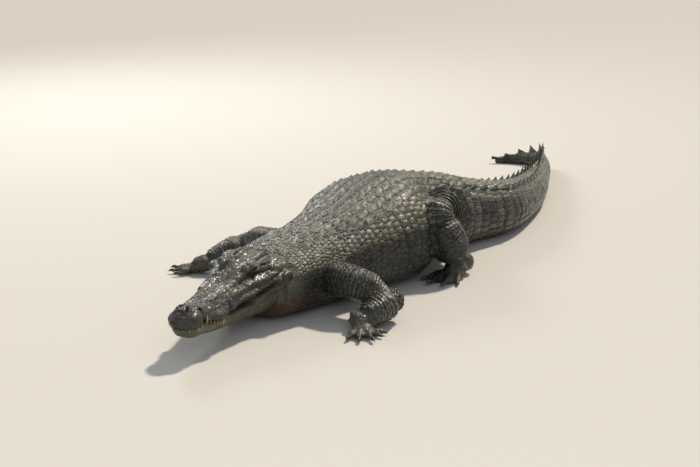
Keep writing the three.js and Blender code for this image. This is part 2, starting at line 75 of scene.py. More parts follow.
# Body sections: distance behind the skull, height of the line, half width, rise, drop, pinch.
BODY_ROWS = np.array([
    (-60, 90, 102, 40, 78, 0), (40, 90, 116, 74, 92, 0), (190, 98, 132, 94, 104, 0),
    (300, 104, 154, 112, 110, 0), (380, 106, 180, 131, 114, 0), (440, 106, 178, 140, 114, 0),
    (490, 106, 154, 143, 113, 0.01), (540, 106, 133, 138, 112, 0.03),
    (600, 105, 126, 127, 110, 0.05), (670, 102, 120, 115, 106, 0.07),
    (770, 96, 108, 100, 98, 0.1), (890, 82, 92, 82, 84, 0.14), (1115, 62, 66, 62, 64, 0.2),
    (1275, 54, 53, 54, 56, 0.25), (1500, 44, 38, 42, 45, 0.3), (1700, 33, 25, 32, 34, 0.35),
    (1830, 24, 17, 24, 25, 0.4), (1990, 8, 5, 7, 8, 0.3),
])
TAIL_START, TAIL_END = 790, 1950
CREST = {
    "from": 760, "meet": 1640, "low": 1900, "to": 1940, "pitch": 44, "tallest": 42, "least": 9,
    "spread": 0.62,
}

# The solids' seam along the mouth, then the lower lip's edge, and how far the upper one gapes
# over it: heights by their distance from the snout's tip, all as shares of the head.
SEAM_AT = [0.0, 0.1, 0.17, 0.3, 0.46, 0.68, 0.86, 1.2]
SEAM_UP = [0.0, 0.0, 0.018, -0.022, 0.014, -0.004, 0.034, 0.07]
LIP_AT = [0.0, 0.1, 0.17, 0.22, 0.3, 0.38, 0.475, 0.56, 0.626, 0.682, 0.78, 0.86, 0.9, 1.2]
LIP_UP = [0.0, 0.0, 0.014, -0.01, -0.022, -0.02, -0.013, -0.014, -0.012, 0.01, 0.036, 0.058, 0.07, 0.09]
GAPE_AT = [0.4, 0.47, 0.52, 0.58, 0.64, 0.72, 0.79, 0.82, 0.84]
GAPE = [0.0, 0.014, 0.03, 0.034, 0.03, 0.026, 0.022, 0.014, 0.0]

UPPER_TEETH = [
    (0.035, 0.066, 9), (0.075, 0.098, 13), (0.09, 0.101, 10), (0.12, 0.105, 9), (0.215, 0.107, 8),
    (0.24, 0.118, 9), (0.265, 0.127, 10), (0.285, 0.133, 9), (0.308, 0.139, 17), (0.328, 0.14, 17),
    (0.37, 0.14, 9),
]
FOURTH_TOOTH = (0.17, 0.103, {1: 21, -1: 15})      # its length differs from side to side

# Each leg from inside the body to the wrist or ankle, and its half thickness along it.
LIMBS = {
    "arm_left": ([(-335, 0, 90), (-342, -95, 88), (-312, -165, 62), (-330, -178, 46),
                  (-358, -172, 42), (-408, -152, 27)], [48, 45, 42, 40, 39, 28]),
    "leg_left": ([(215, 0, 115), (140, -56, 154), (66, -84, 168), (40, -92, 148),
                  (42, -112, 106), (88, -130, 46)], [72, 64, 54, 54, 58, 42]),
    "arm_right": ([(-262, 130, 100), (-225, 240, 100), (-182, 330, 82), (-180, 348, 70),
                   (-214, 382, 48), (-268, 416, 27)], [48, 45, 42, 40, 39, 28]),
    "leg_right": ([(235, 130, 112), (175, 210, 126), (118, 255, 130), (104, 267, 118),
                   (120, 288, 86), (152, 314, 46)], [72, 64, 54, 54, 58, 42]),
}
# Paws: where the wrist is, which way the middle points, and which side of the animal it is on.
PAWS = {
    "hand_left": ((-406, -152, 24), 4.1, 1), "hand_right": ((-266, 416, 24), 1.84, -1),
    "foot_left": ((104, -130, 30), 3.14, 1), "foot_right": ((152, 314, 30), 2.92, -1),
}
PALMS = {"hand": (40, 32, 19), "foot": (72, 38, 22)}     # long, half width, half thickness
DIGITS = {
    "hand": [(-0.78, 42, 10.5), (-0.38, 54, 11), (0, 58, 11), (0.4, 52, 9.5), (0.82, 42, 8.5)],
    "foot": [(-0.42, 80, 12.5), (-0.14, 96, 13), (0.16, 92, 12), (0.48, 76, 10)],
}
CLAW_LENGTH = 16


# ---------------------------------------------------------------- settings a user would change

class CrocodileForm(bpy.types.PropertyGroup):
    cell: bpy.props.FloatProperty(
        name="Skin cell", description="Size of the skin's faces before the head is refined",
        default=4.5 * MM, min=2 * MM, unit="LENGTH")
    body_share: bpy.props.FloatProperty(
        name="Body faces kept", description="Share of the faces kept under the large scales",
        default=0.2, min=0.1, max=1, subtype="FACTOR")
    depth: bpy.props.FloatProperty(
        name="Scale depth", description="How far the skin lies inside the outline of the body",
        default=3.2 * MM, unit="LENGTH")


class CrocodileScales(bpy.types.PropertyGroup):
    back: bpy.props.FloatProperty(
        name="Back plate", description="Distance between the keeled plates along the back",
        default=33 * MM, unit="LENGTH")
    flank: bpy.props.FloatProperty(
        name="Flank scale", description="Distance between the oval scales of the flank",
        default=22 * MM, unit="LENGTH")
    leg: bpy.props.FloatProperty(
        name="Leg band", description="Distance between the bands of scales on the legs",
        default=8 * MM, unit="LENGTH")
    pebble: bpy.props.FloatProperty(
        name="Pebble", description="Distance between the small scales that fill what is left",
        default=7.5 * MM, unit="LENGTH")


def colour_property(name, text, value):
    """A colour that a user can change, from its sRGB hex value."""
    return bpy.props.FloatVectorProperty(
        name=name, description=text, subtype="COLOR", size=3, min=0, max=1, default=linear(value))


def linear(value):
    """The linear colour of an sRGB hex value."""
    parts = [int(value[k:k + 2], 16) / 255 for k in (1, 3, 5)]
    return tuple(p / 12.92 if p <= 0.04045 else ((p + 0.055) / 1.055) ** 2.4 for p in parts)


class CrocodileColours(bpy.types.PropertyGroup):
    hide: colour_property("Hide", "Wet olive-grey of the body", "#54523f")
    cool: colour_property("Cool", "Blue-grey patches of the hide", "#4c5254")
    # The dark colour also paints shade: on the lower flank, and at a fifth of its value in the gaps and hollows
    # between scales.
    dark: colour_property("Dark", "Blotches and bands, and the skin between scales", "#24231d")
    # The dust colour also paints a highlight on the tops of the scales.
    dust_and_highlight: colour_property("Dust", "Dry grey-green film on the back", "#a0a08a")
    ochre: colour_property("Ochre", "Yellow-olive tint of the upper flank", "#746a40")
    # The underside colour is a dark warm brown: the real underside with painted shade and the ground's orange
    # light painted in as a reflection.
    pale: colour_property("Pale", "Underside and throat", "#644a35")
    jaw: colour_property("Jaw", "Green-grey of the lower jaw", "#73745a")
    # The gum colour is dark: it paints the gum in the shade of its recess under the upper lip.
    gum: colour_property("Gum", "Inside of the mouth", "#3c1f16")
    tooth: colour_property("Tooth", "Stained enamel", "#c08f42")
    claw: colour_property("Claw", "Horn of the claws", "#39342b")
    eye: colour_property("Eye", "Iris", "#2a140b")


class CrocodileStage(bpy.types.PropertyGroup):
    floor: colour_property("Floor", "Plain studio floor", "#cfccc6")
    lens: bpy.props.FloatProperty(
        name="Lens", description="Focal length on a 36 mm sensor", default=72, subtype="NONE")


# ---------------------------------------------------------------- places on the animal

def rotation(turn, lift, roll):
    """Turn about Z after lift about Y after roll about X, as a 3 by 3 array."""
    axes = Matrix.Rotation(turn, 3, "Z") @ Matrix.Rotation(lift, 3, "Y") @ Matrix.Rotation(roll, 3, "X")
    return np.array(axes)


HEAD_AXES = rotation(HEAD_TURN, HEAD_LIFT, HEAD_ROLL)


def plan_offset():
    """From the plan that the tables are in to the frame, read from where the left eye lies."""
    low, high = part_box("eye_left")
    seen = (np.array(low) + np.array(high)) / 2
    share = np.array([EYE["at"], -EYE["out"], EYE["up"]]) * HEAD_LENGTH
    return seen - (np.array(SNOUT_TIP) + HEAD_AXES @ share) * MM


OFFSET = plan_offset()
TIP = np.array(SNOUT_TIP) * MM + OFFSET
HEAD = HEAD_LENGTH * MM


def place(points):
    """Points of the plan, in millimetres, in the frame."""
    return np.asarray(points, float) * MM + OFFSET


def from_head(shares):
    """Frame points of (at, out to the left, up) shares of the head."""
    return TIP + (np.asarray(shares, float) * (1, -1, 1) * HEAD) @ HEAD_AXES.T


def to_head(points):
    """(at, out to the left, up) shares of the head for frame points."""
    return (np.asarray(points, float) - TIP) @ HEAD_AXES / HEAD * (1, -1, 1)


def curve_points(knots, steps=24):
    """Points along the smooth centripetal curve through the knots, evenly spaced, and tangents."""
    knots = np.asarray(knots, float)
    knots = np.vstack([2 * knots[0] - knots[1], knots, 2 * knots[-1] - knots[-2]])
    t = np.linspace(0, 1, steps, endpoint=False)[:, None]
    parts = []
    for a, b, c, d in zip(knots, knots[1:], knots[2:], knots[3:]):
        first, mid, last = (np.linalg.norm(q - p) ** 0.5 for p, q in ((a, b), (b, c), (c, d)))
        go = ((b - a) / first - (c - a) / (first + mid) + (c - b) / mid) * mid
        stop = ((c - b) / mid - (d - b) / (mid + last) + (d - c) / last) * mid
        parts.append(b + go * t + (3 * (c - b) - 2 * go - stop) * t**2
                     + (2 * (b - c) + go + stop) * t**3)
    path = np.vstack(parts + [knots[-2:-1]])
    run = np.concatenate([[0], np.cumsum(np.linalg.norm(np.diff(path, axis=0), axis=1))])
    even = np.linspace(0, run[-1], len(path))
    path = np.column_stack([np.interp(even, run, path[:, k]) for k in range(path.shape[1])])
    way = np.gradient(path, axis=0)
    return path, way / np.linalg.norm(way, axis=1)[:, None], even


SPINE, SPINE_WAY, SPINE_RUN = curve_points([(x, y) for x, y in SPINE_PLAN])
SPINE_AT = SPINE_RUN - SKULL_OFFSET


def row(key, at):
    """Body measure at a distance behind the skull, in millimetres."""
    column = ("at", "line", "wide", "top", "low", "pinch").index(key)
    return np.interp(at, BODY_ROWS[:, 0], BODY_ROWS[:, column])


def body_point(at, left, height):
    """Frame point so far behind the skull, to the left of the spine and over the floor."""
    x, y = (np.interp(at, SPINE_AT, SPINE[:, k]) for k in (0, 1))
    i, j = (np.interp(at, SPINE_AT, SPINE_WAY[:, k]) for k in (0, 1))
    return place(np.stack([x + j * left, y - i * left, height + 0 * x], -1))


def bend(value, power):
    return np.sign(value) * np.abs(value) ** power


def section(at, turn):
    """(left, height) of the body's outline, in millimetres; turn 0 is the middle of the back."""
    rise = np.cos(turn)
    up = rise > 0
    tall = np.where(up, row("top", at), row("low", at))
    narrow = np.where(up, 1 - row("pinch", at) * np.abs(rise), 1)
    left = bend(np.sin(turn), 0.85) * row("wide", at) * narrow
    height = row("line", at) + np.where(up, bend(rise, 0.9), bend(rise, 0.7)) * tall
    return left, np.maximum(height, 0)


def spine_place(points):
    """(distance behind the skull, left, height) in millimetres of frame points."""
    plan = (np.asarray(points) - OFFSET) / MM
    tree = KDTree(len(SPINE))
    for k, spot in enumerate(SPINE):
        tree.insert((*spot, 0), k)
    tree.balance()
    near = np.array([tree.find((x, y, 0))[1] for x, y in plan[:, :2]])
    away = plan[:, :2] - SPINE[near]
    way = SPINE_WAY[near]
    along = SPINE_AT[near] + (away * way).sum(1)
    left = away[:, 0] * way[:, 1] - away[:, 1] * way[:, 0]
    return along, left, plan[:, 2]


# ---------------------------------------------------------------- grain

def lattice_value(i, j, k, seed):
    """A value from 0 to 1 for each whole-number place, the same each time."""
    mixed = (i * 73856093) ^ (j * 19349663) ^ (k * 83492791) ^ (seed * 2654435761)
    mixed = mixed & 0xFFFFFFFF
    mixed = ((mixed ^ (mixed >> 15)) * 0x2C1B3C6D) & 0xFFFFFFFF
    mixed = ((mixed ^ (mixed >> 12)) * 0x297A2D39) & 0xFFFFFFFF
    return ((mixed ^ (mixed >> 15)) & 0xFFFFFF) / 0xFFFFFF


def grain(points, size, seed):
    """Smooth noise from -1 to 1 with bumps of about that size."""
    spot = np.asarray(points) / size
    cell = np.floor(spot).astype(np.int64)
    part = spot - cell
    part = part * part * (3 - 2 * part)
    total = np.zeros(len(spot))
    for corner in range(8):
        step = np.array([corner & 1, corner >> 1 & 1, corner >> 2 & 1])
        share = np.where(step, part, 1 - part).prod(1)
        total += share * lattice_value(*(cell + step).T, seed)
    return total * 2 - 1


def cracks(points, size, seed):
    """0 in the cracks between irregular cells of about that size, rising to 1 inside them."""
    spot = np.asarray(points) / size
    cell = np.floor(spot).astype(np.int64)
    first = np.full(len(spot), 9.0)
    second = np.full(len(spot), 9.0)
    for code in range(27):
        step = np.array([code % 3, code // 3 % 3, code // 9]) - 1
        other = cell + step
        core = other + np.stack([lattice_value(*other.T, seed + n) for n in range(3)], 1)
        away = np.linalg.norm(core - spot, axis=1)
        second = np.minimum(second, np.maximum(first, away))
        first = np.minimum(first, away)
    return np.clip((second - first) * 3, 0, 1)


def hill(value, middle, width):
    """1 at the middle, falling smoothly to 0 at that distance from it."""
    share = np.clip(1 - np.abs(value - middle) / width, 0, 1)
    return share * share * (3 - 2 * share)


def step_up(value, low, high):
    share = np.clip((value - low) / (high - low), 0, 1)
    return share * share * (3 - 2 * share)


# ---------------------------------------------------------------- markings

def markings(points):
    """The animal's markings at frame points, with the painted shade of the lower flank and underside: each from 0
    to 1, the same for skin and scales.
    """
    at, left, height = spine_place(points)
    share = to_head(points)
    head = step_up(-share[:, 0], -1.06, -0.94) * step_up(-np.abs(share[:, 1]), -0.42, -0.37)
    line = row("line", at)
    rise = np.where(height > line, (height - line) / row("top", at), (height - line) / row("low", at))
    out = np.abs(left) / row("wide", at)
    limb = step_up(out, 1.12, 1.3) * (1 - head)
    trunk = (1 - head) * (1 - limb)
    mouth = np.interp(share[:, 0], LIP_AT, LIP_UP)
    below_lip = step_up(mouth - share[:, 2], -0.004, 0.012)

    blotch = np.clip(0.5 + 0.8 * grain(points, 0.05, 3), 0, 1)
    fine = 0.5 + 0.5 * grain(points, 0.016, 4)
    band = 0.5 + 0.5 * np.sin(at / 118 * 2 * math.pi + 1.4 * grain(points, 0.09, 5))
    tail = step_up(at, 640, 820)
    side = hill(rise, 0.1, 0.75)
    # Ahead of the tail the flank is darker below its middle: painted shade of the side turned from the light. The
    # tail's bands and the blotches are the animal's own.
    dark = trunk * (tail * side * (0.25 + 0.75 * step_up(band + 0.5 * blotch, 0.75, 1.1))
                    + (1 - tail) * step_up(-rise, -0.6, -0.15) * (0.7 + 0.3 * blotch))
    dark = dark + limb * (0.35 + 0.45 * blotch) * step_up(height, 20, 70)
    dark = dark + head * (0.1 + 0.35 * step_up(fine, 0.5, 0.8)) * (1 - below_lip)
    top = step_up(rise, 0.3 - 0.1 * tail, 0.75) * trunk
    dust_and_highlight = top * (0.6 + 0.45 * step_up(blotch + 0.3 * fine, 0.35, 0.8) + 0.25 * tail)
    dust_and_highlight = dust_and_highlight + limb * (0.3 + 0.3 * step_up(-height, -60, -20)) + head * (0.35 * step_up(share[:, 2], 0.06, 0.15) + 0.4 * step_up(
        share[:, 2], 0.15, 0.18)) + trunk * step_up(-at, -190, -60) * step_up(rise, -0.1, 0.6) * 0.35
    lump = hill(np.linalg.norm(np.abs(share) - LUMP, axis=1), 0, 0.05)
    dust_and_highlight = dust_and_highlight + 0.9 * lump
    ochre = trunk * (1 - tail) * hill(rise, 0.4, 0.42) * step_up(blotch + 0.25 * fine, 0.42, 0.75)
    ochre = ochre + trunk * (1 - tail) * hill(rise, 0.95, 0.45) * step_up(fine, 0.6, 0.8) * 0.5
    ochre = ochre + tail * trunk * hill(rise, -0.35, 0.5) * step_up(fine + 0.5 * blotch, 0.7, 1) * 0.5
    # Underside and throat: their own paler colour, darkened with painted shade and warmed with a painted
    # reflection of the ground.
    under = trunk * step_up(-rise, 0.55 - 0.3 * tail, 0.92) * (0.45 + 0.45 * tail)
    throat = step_up(-share[:, 0], -1.3, -0.9) * step_up(mouth - share[:, 2], 0.08, 0.17) * (1 - limb)
    jaw = step_up(-share[:, 0], -1.12, -0.9) * below_lip * (1 - throat) * (1 - limb)
    return {
        "dark": np.clip(dark, 0, 1), "dust_and_highlight": np.clip(dust_and_highlight, 0, 1), "ochre": np.clip(ochre, 0, 1),
        "pale": np.clip(under + throat, 0, 1), "jaw": np.clip(jaw, 0, 1),
    }


def write_marks(mesh, values):
    """Stores each named value on the mesh's points."""
    for name, value in values.items():
        layer = mesh.attributes.get(name) or mesh.attributes.new(name, "FLOAT", "POINT")
        layer.data.foreach_set("value", np.ascontiguousarray(value, np.float32))


# ---------------------------------------------------------------- small helpers

def points_of(mesh):
    spots = np.empty(len(mesh.vertices) * 3, np.float32)
    mesh.vertices.foreach_get("co", spots)
    return spots.reshape(-1, 3).astype(float)


def normals_of(mesh):
    ways = np.empty(len(mesh.vertices) * 3, np.float32)
    mesh.vertex_normals.foreach_get("vector", ways)
    return ways.reshape(-1, 3).astype(float)


def set_points(mesh, spots):
    mesh.vertices.foreach_set("co", np.ascontiguousarray(spots, np.float32).ravel())
    mesh.update()


def only(piece):
    """Makes this piece the only selected one and the active one."""
    bpy.ops.object.select_all(action="DESELECT")
    piece.select_set(True)
    bpy.context.view_layer.objects.active = piece


def add_modifier(piece, kind, **settings):
    """Adds a modifier with its settings and applies it."""
    made = piece.modifiers.new(kind, kind)
    for key, value in settings.items():
        setattr(made, key, value)
    only(piece)
    bpy.ops.object.modifier_apply(modifier=made.name)


def edit_select(piece, chosen):
    """Enters edit mode with the points where chosen is true selected, and nothing else."""
    only(piece)
    bpy.ops.object.mode_set(mode="EDIT")
    bpy.ops.mesh.select_mode(type="VERT")
    bpy.ops.mesh.select_all(action="DESELECT")
    net = bmesh.from_edit_mesh(piece.data)
    for point, wanted in zip(net.verts, chosen):
        point.select = bool(wanted)
    net.select_flush(True)
    bmesh.update_edit_mesh(piece.data)


def finish_piece(piece, name, slot, material, *nodes):
    """Names a piece, gives it its material, and says what it rides on and stands for."""
    piece.name = name
    piece.data.name = name
    piece.data.materials.clear()
    piece.data.materials.append(material)
    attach(piece, BODY)
    if nodes:
        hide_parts(*nodes)


# ---------------------------------------------------------------- materials

def node(tree, kind, settings=None, links=None):
    """Adds one node, sets its properties or sockets, and links sockets to other nodes' outputs."""
    made = tree.nodes.new(kind)
    for key, value in (settings or {}).items():
        if isinstance(key, str) and hasattr(made, key) and key not in made.inputs:
            setattr(made, key, value)
        else:
            made.inputs[key].default_value = value
    for key, source in (links or {}).items():
        tree.links.new(source, made.inputs[key])
    return made


def new_material(name):
    made = bpy.data.materials.new(name)
    made.use_nodes = True
    tree = made.node_tree
    return made, tree, tree.nodes["Principled BSDF"]


def rgba(colour):
    return (*colour, 1)


def mix(tree, share, a, b, kind="MIX"):
    """Mixes two colours: each is a linear colour or another node's output."""
    made = tree.nodes.new("ShaderNodeMix")
    made.data_type = "RGBA"
    made.blend_type = kind
    for socket, value in ((made.inputs["Factor"], share), (made.inputs["A"], a), (made.inputs["B"], b)):
        if isinstance(value, bpy.types.NodeSocket):
            tree.links.new(value, socket)
        else:
            socket.default_value = value
    return made.outputs["Result"]


def hide_material(name, shine, grain_size, relief, cell_share, broken_film):
    """Wet crocodile hide: dull olive keratin under a thin film of water, so the ground colour is matt and
    blotched while the tops of scales and folds catch small sharp glints. The colour also has painted shade in the
    gaps and hollows and a painted highlight, partly dry wear, on the tops of the scales."""
    colours = bpy.context.scene.crocodile_colours
    made, tree, shader = new_material(name)
    place_node = node(tree, "ShaderNodeTexCoord").outputs["Object"]

    def mark(key):
        return node(tree, "ShaderNodeAttribute", {"attribute_name": key}).outputs["Fac"]

    def noise(size, detail, rough=0.6):
        return node(tree, "ShaderNodeTexNoise", {"Scale": 1 / size, "Detail": detail, "Roughness": rough},
                    {"Vector": place_node}).outputs["Fac"]

    def ramp(source, low, high, least=0.0, most=1.0):
        limits = {"From Min": low, "From Max": high, "To Min": least, "To Max": most}
        return node(tree, "ShaderNodeMapRange", limits, {"Value": source}).outputs["Result"]

    def times(a, b):
        made_node = node(tree, "ShaderNodeMath", {"operation": "MULTIPLY"}, {0: a})
        if isinstance(b, bpy.types.NodeSocket):
            tree.links.new(b, made_node.inputs[1])
        else:
            made_node.inputs[1].default_value = b
        return made_node.outputs[0]

    fleck = ramp(noise(0.006, 4), 0.35, 0.68)
    patch = ramp(noise(0.035, 3), 0.35, 0.65)
    grit = ramp(noise(0.0032, 5, 0.7), 0.36, 0.64, 0.5, 1.5)
    base = mix(tree, times(patch, 0.6), rgba(colours.hide), rgba(colours.cool))
    base = mix(tree, times(mark("jaw"), 0.85), base, rgba(colours.jaw))
    base = mix(tree, mark("pale"), base, rgba(colours.pale))
    base = mix(tree, times(mark("ochre"), 0.7), base, rgba(colours.ochre))
    base = mix(tree, mark("dark"), base, rgba(colours.dark))
    base = mix(tree, times(times(mark("dust_and_highlight"), fleck), 0.85), base, rgba(colours.dust_and_highlight))
    # Painted highlight, partly dry wear: the tops of the scales turn towards the pale dust colour, less where the
    # hide is dark.
    wear_and_highlight = times(ramp(mark("relief_light"), 0.82, 1.0, 0.0, 0.45), ramp(mark("dark"), 0.0, 0.7, 1.0, 0.05))
    base = mix(tree, wear_and_highlight, base, rgba(colours.dust_and_highlight))
    # Painted shade: the low places of each scale and the skin's gaps and hollows turn nearly black.
    base = mix(tree, ramp(mark("relief_light"), 0.5, 0.1), base, rgba([c * 0.2 for c in colours.dark]))
    base = mix(tree, mark("gum"), base, rgba(colours.gum))
    tone = node(tree, "ShaderNodeHueSaturation", {"Color": (1, 1, 1, 1)},
                {"Color": base, "Value": times(ramp(mark("tone"), -1.0, 1.0, 0.18, 0.78), grit)})
    tree.links.new(tone.outputs["Color"], shader.inputs["Base Color"])
    film = ramp(noise(0.014, 3), 0.3, 0.7)
    rough = node(tree, "ShaderNodeMapRange", {"To Min": 0.36, "To Max": 0.66}, {"Value": film})
    tree.links.new(rough.outputs["Result"], shader.inputs["Roughness"])
    shader.inputs["IOR"].default_value = 1.45
    shader.inputs["Coat Roughness"].default_value = 0.2
    shader.inputs["Coat IOR"].default_value = 1.33
    tree.links.new(times(ramp(film, 1.0, 0.2), shine), shader.inputs["Coat Weight"])
    cells = node(tree, "ShaderNodeTexVoronoi", {"feature": "DISTANCE_TO_EDGE", "Scale": 1 / grain_size},
                 {"Vector": place_node}).outputs["Distance"]
    raised = node(tree, "ShaderNodeMath", {"operation": "ADD"},
                  {0: times(ramp(cells, 0.0, 0.18), cell_share), 1: noise(grain_size * 0.6, 4)})
    bump = node(tree, "ShaderNodeBump", {"Strength": 0.55, "Distance": relief},
                {"Height": raised.outputs[0]})
    tree.links.new(bump.outputs["Normal"], shader.inputs["Normal"])
    if broken_film:
        tree.links.new(bump.outputs["Normal"], shader.inputs["Coat Normal"])
    return made


def tooth_material():
    """Tooth enamel: hard and a little glossy, amber with stain that is darker at the gum."""
    colours = bpy.context.scene.crocodile_colours
    made, tree, shader = new_material("enamel_stained_amber")
    stain = node(tree, "ShaderNodeAttribute", {"attribute_name": "gum"}).outputs["Fac"]
    base = mix(tree, stain, rgba(colours.tooth), rgba([c * 0.42 for c in colours.tooth]))
    tree.links.new(base, shader.inputs["Base Color"])
    shader.inputs["Roughness"].default_value = 0.28
    shader.inputs["IOR"].default_value = 1.6
    return made


def claw_material():
    """Horn: brown-grey keratin with fine lengthwise streaks, dull, with a scuffed sheen."""
    colours = bpy.context.scene.crocodile_colours
    made, tree, shader = new_material("horn_scuffed")
    spot = node(tree, "ShaderNodeTexCoord").outputs["Object"]
    streak = node(tree, "ShaderNodeTexNoise", {"Scale": 1 / 0.0025, "Detail": 3}, {"Vector": spot})
    base = mix(tree, streak.outputs["Fac"], rgba([c * 0.5 for c in colours.claw]),
               rgba([min(1, c * 1.5) for c in colours.claw]))
    tree.links.new(base, shader.inputs["Base Color"])
    bump = node(tree, "ShaderNodeBump", {"Strength": 0.4, "Distance": 0.0003},
                {"Height": streak.outputs["Fac"]})
    tree.links.new(bump.outputs["Normal"], shader.inputs["Normal"])
    shader.inputs["Roughness"].default_value = 0.42
    shader.inputs["IOR"].default_value = 1.55
    return made


def eye_material():
    """A wet eye: dark brown iris with a black upright slit under a clear, mirror-smooth cornea."""
    colours = bpy.context.scene.crocodile_colours
    made, tree, shader = new_material("eye_wet_brown")
    slit = node(tree, "ShaderNodeAttribute", {"attribute_name": "slit"}).outputs["Fac"]
    ring = node(tree, "ShaderNodeAttribute", {"attribute_name": "ring"}).outputs["Fac"]
    spot = node(tree, "ShaderNodeTexCoord").outputs["Object"]
    fleck = node(tree, "ShaderNodeTexNoise", {"Scale": 1 / 0.0012, "Detail": 3}, {"Vector": spot})
    base = mix(tree, fleck.outputs["Fac"], rgba([c * 0.4 for c in colours.eye]),
               rgba([c * 1.3 for c in colours.eye]))
    base = mix(tree, ring, base, rgba([c * 0.15 for c in colours.eye]))
    base = mix(tree, slit, base, (0.002, 0.002, 0.002, 1))
    tree.links.new(base, shader.inputs["Base Color"])
    shader.inputs["Roughness"].default_value = 0.08
    shader.inputs["Specular IOR Level"].default_value = 0.25
    shader.inputs["Coat Weight"].default_value = 0.15
    shader.inputs["Coat Roughness"].default_value = 0.05
    shader.inputs["IOR"].default_value = 1.38
    return made


def shared_material(name, make):
    """The material of that name, made the first time it is asked for."""
    return bpy.data.materials.get(name) or make()


def skin_material():
    return shared_material("hide_wet_fine", lambda: hide_material(
        "hide_wet_fine", 0.85, 0.0035, 0.0009, 0.8, False))


def scale_material():
    return shared_material("hide_wet_scales", lambda: hide_material(
        "hide_wet_scales", 1.0, 0.0045, 0.0013, 0.35, True))


# ---------------------------------------------------------------- the skin

FLESH = [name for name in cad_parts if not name.startswith("eye") and "claw" not in name]


def plain_copy(names):
    """One object with copies of these nodes' meshes, each closed and its teeth drawn in."""
    net = bmesh.new()
    for name in names:
        part = bmesh.new()
        part.from_mesh(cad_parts[name].data)
        bmesh.ops.remove_doubles(part, verts=part.verts, dist=1e-6)
        if name in ("head_upper", "lower_jaw"):
            draw_in_teeth(part, -1 if name == "head_upper" else 1)
        mesh = bpy.data.meshes.new(name)
        part.to_mesh(mesh)
        part.free()
        net.from_mesh(mesh)
        bpy.data.meshes.remove(mesh)
    whole = bpy.data.meshes.new("skin")
    net.to_mesh(whole)
    net.free()
    piece = bpy.data.objects.new("skin", whole)
    bpy.context.scene.collection.objects.link(piece)
    return piece


def draw_in_teeth(part, pointing):
    """Moves the tooth points that pass the mouth line back inside the jaw they stand in."""
    shares = to_head([point.co for point in part.verts])
    mouth = np.interp(shares[:, 0], SEAM_AT, SEAM_UP)
    past = (shares[:, 2] - mouth) * pointing
    reach = 0.009
    for point, share, line, over in zip(part.verts, shares, mouth, past):
        if over > reach and share[0] < 0.5:
            point.co = from_head([share[0], share[1] * 0.8, line - pointing * 0.02])


def near_head(points, back=1.1):
    share = to_head(points)
    return (share[:, 0] < back) & (np.abs(share[:, 1]) < 0.36)


PAW_BOXES = [np.array([list(corner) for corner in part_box(name)]) for name in PAWS]


def near_paws(points):
    """True at points of the hands and feet."""
    margin = 6 * MM
    return np.any([((points > low - margin) & (points < high + margin)).all(1)
                   for low, high in PAW_BOXES], axis=0)


def near_eyes(points, reach):
    """True at points within that many millimetres of an eye's centre."""
    return np.min([np.linalg.norm(points - eye_axes(side)[0], axis=1) for side in (1, -1)],
                  axis=0) < reach * MM


def near_nose(points):
    share = to_head(points)
    return (share[:, 0] < 0.17) & (share[:, 2] > 0.05) & (np.abs(share[:, 1]) < 0.2)


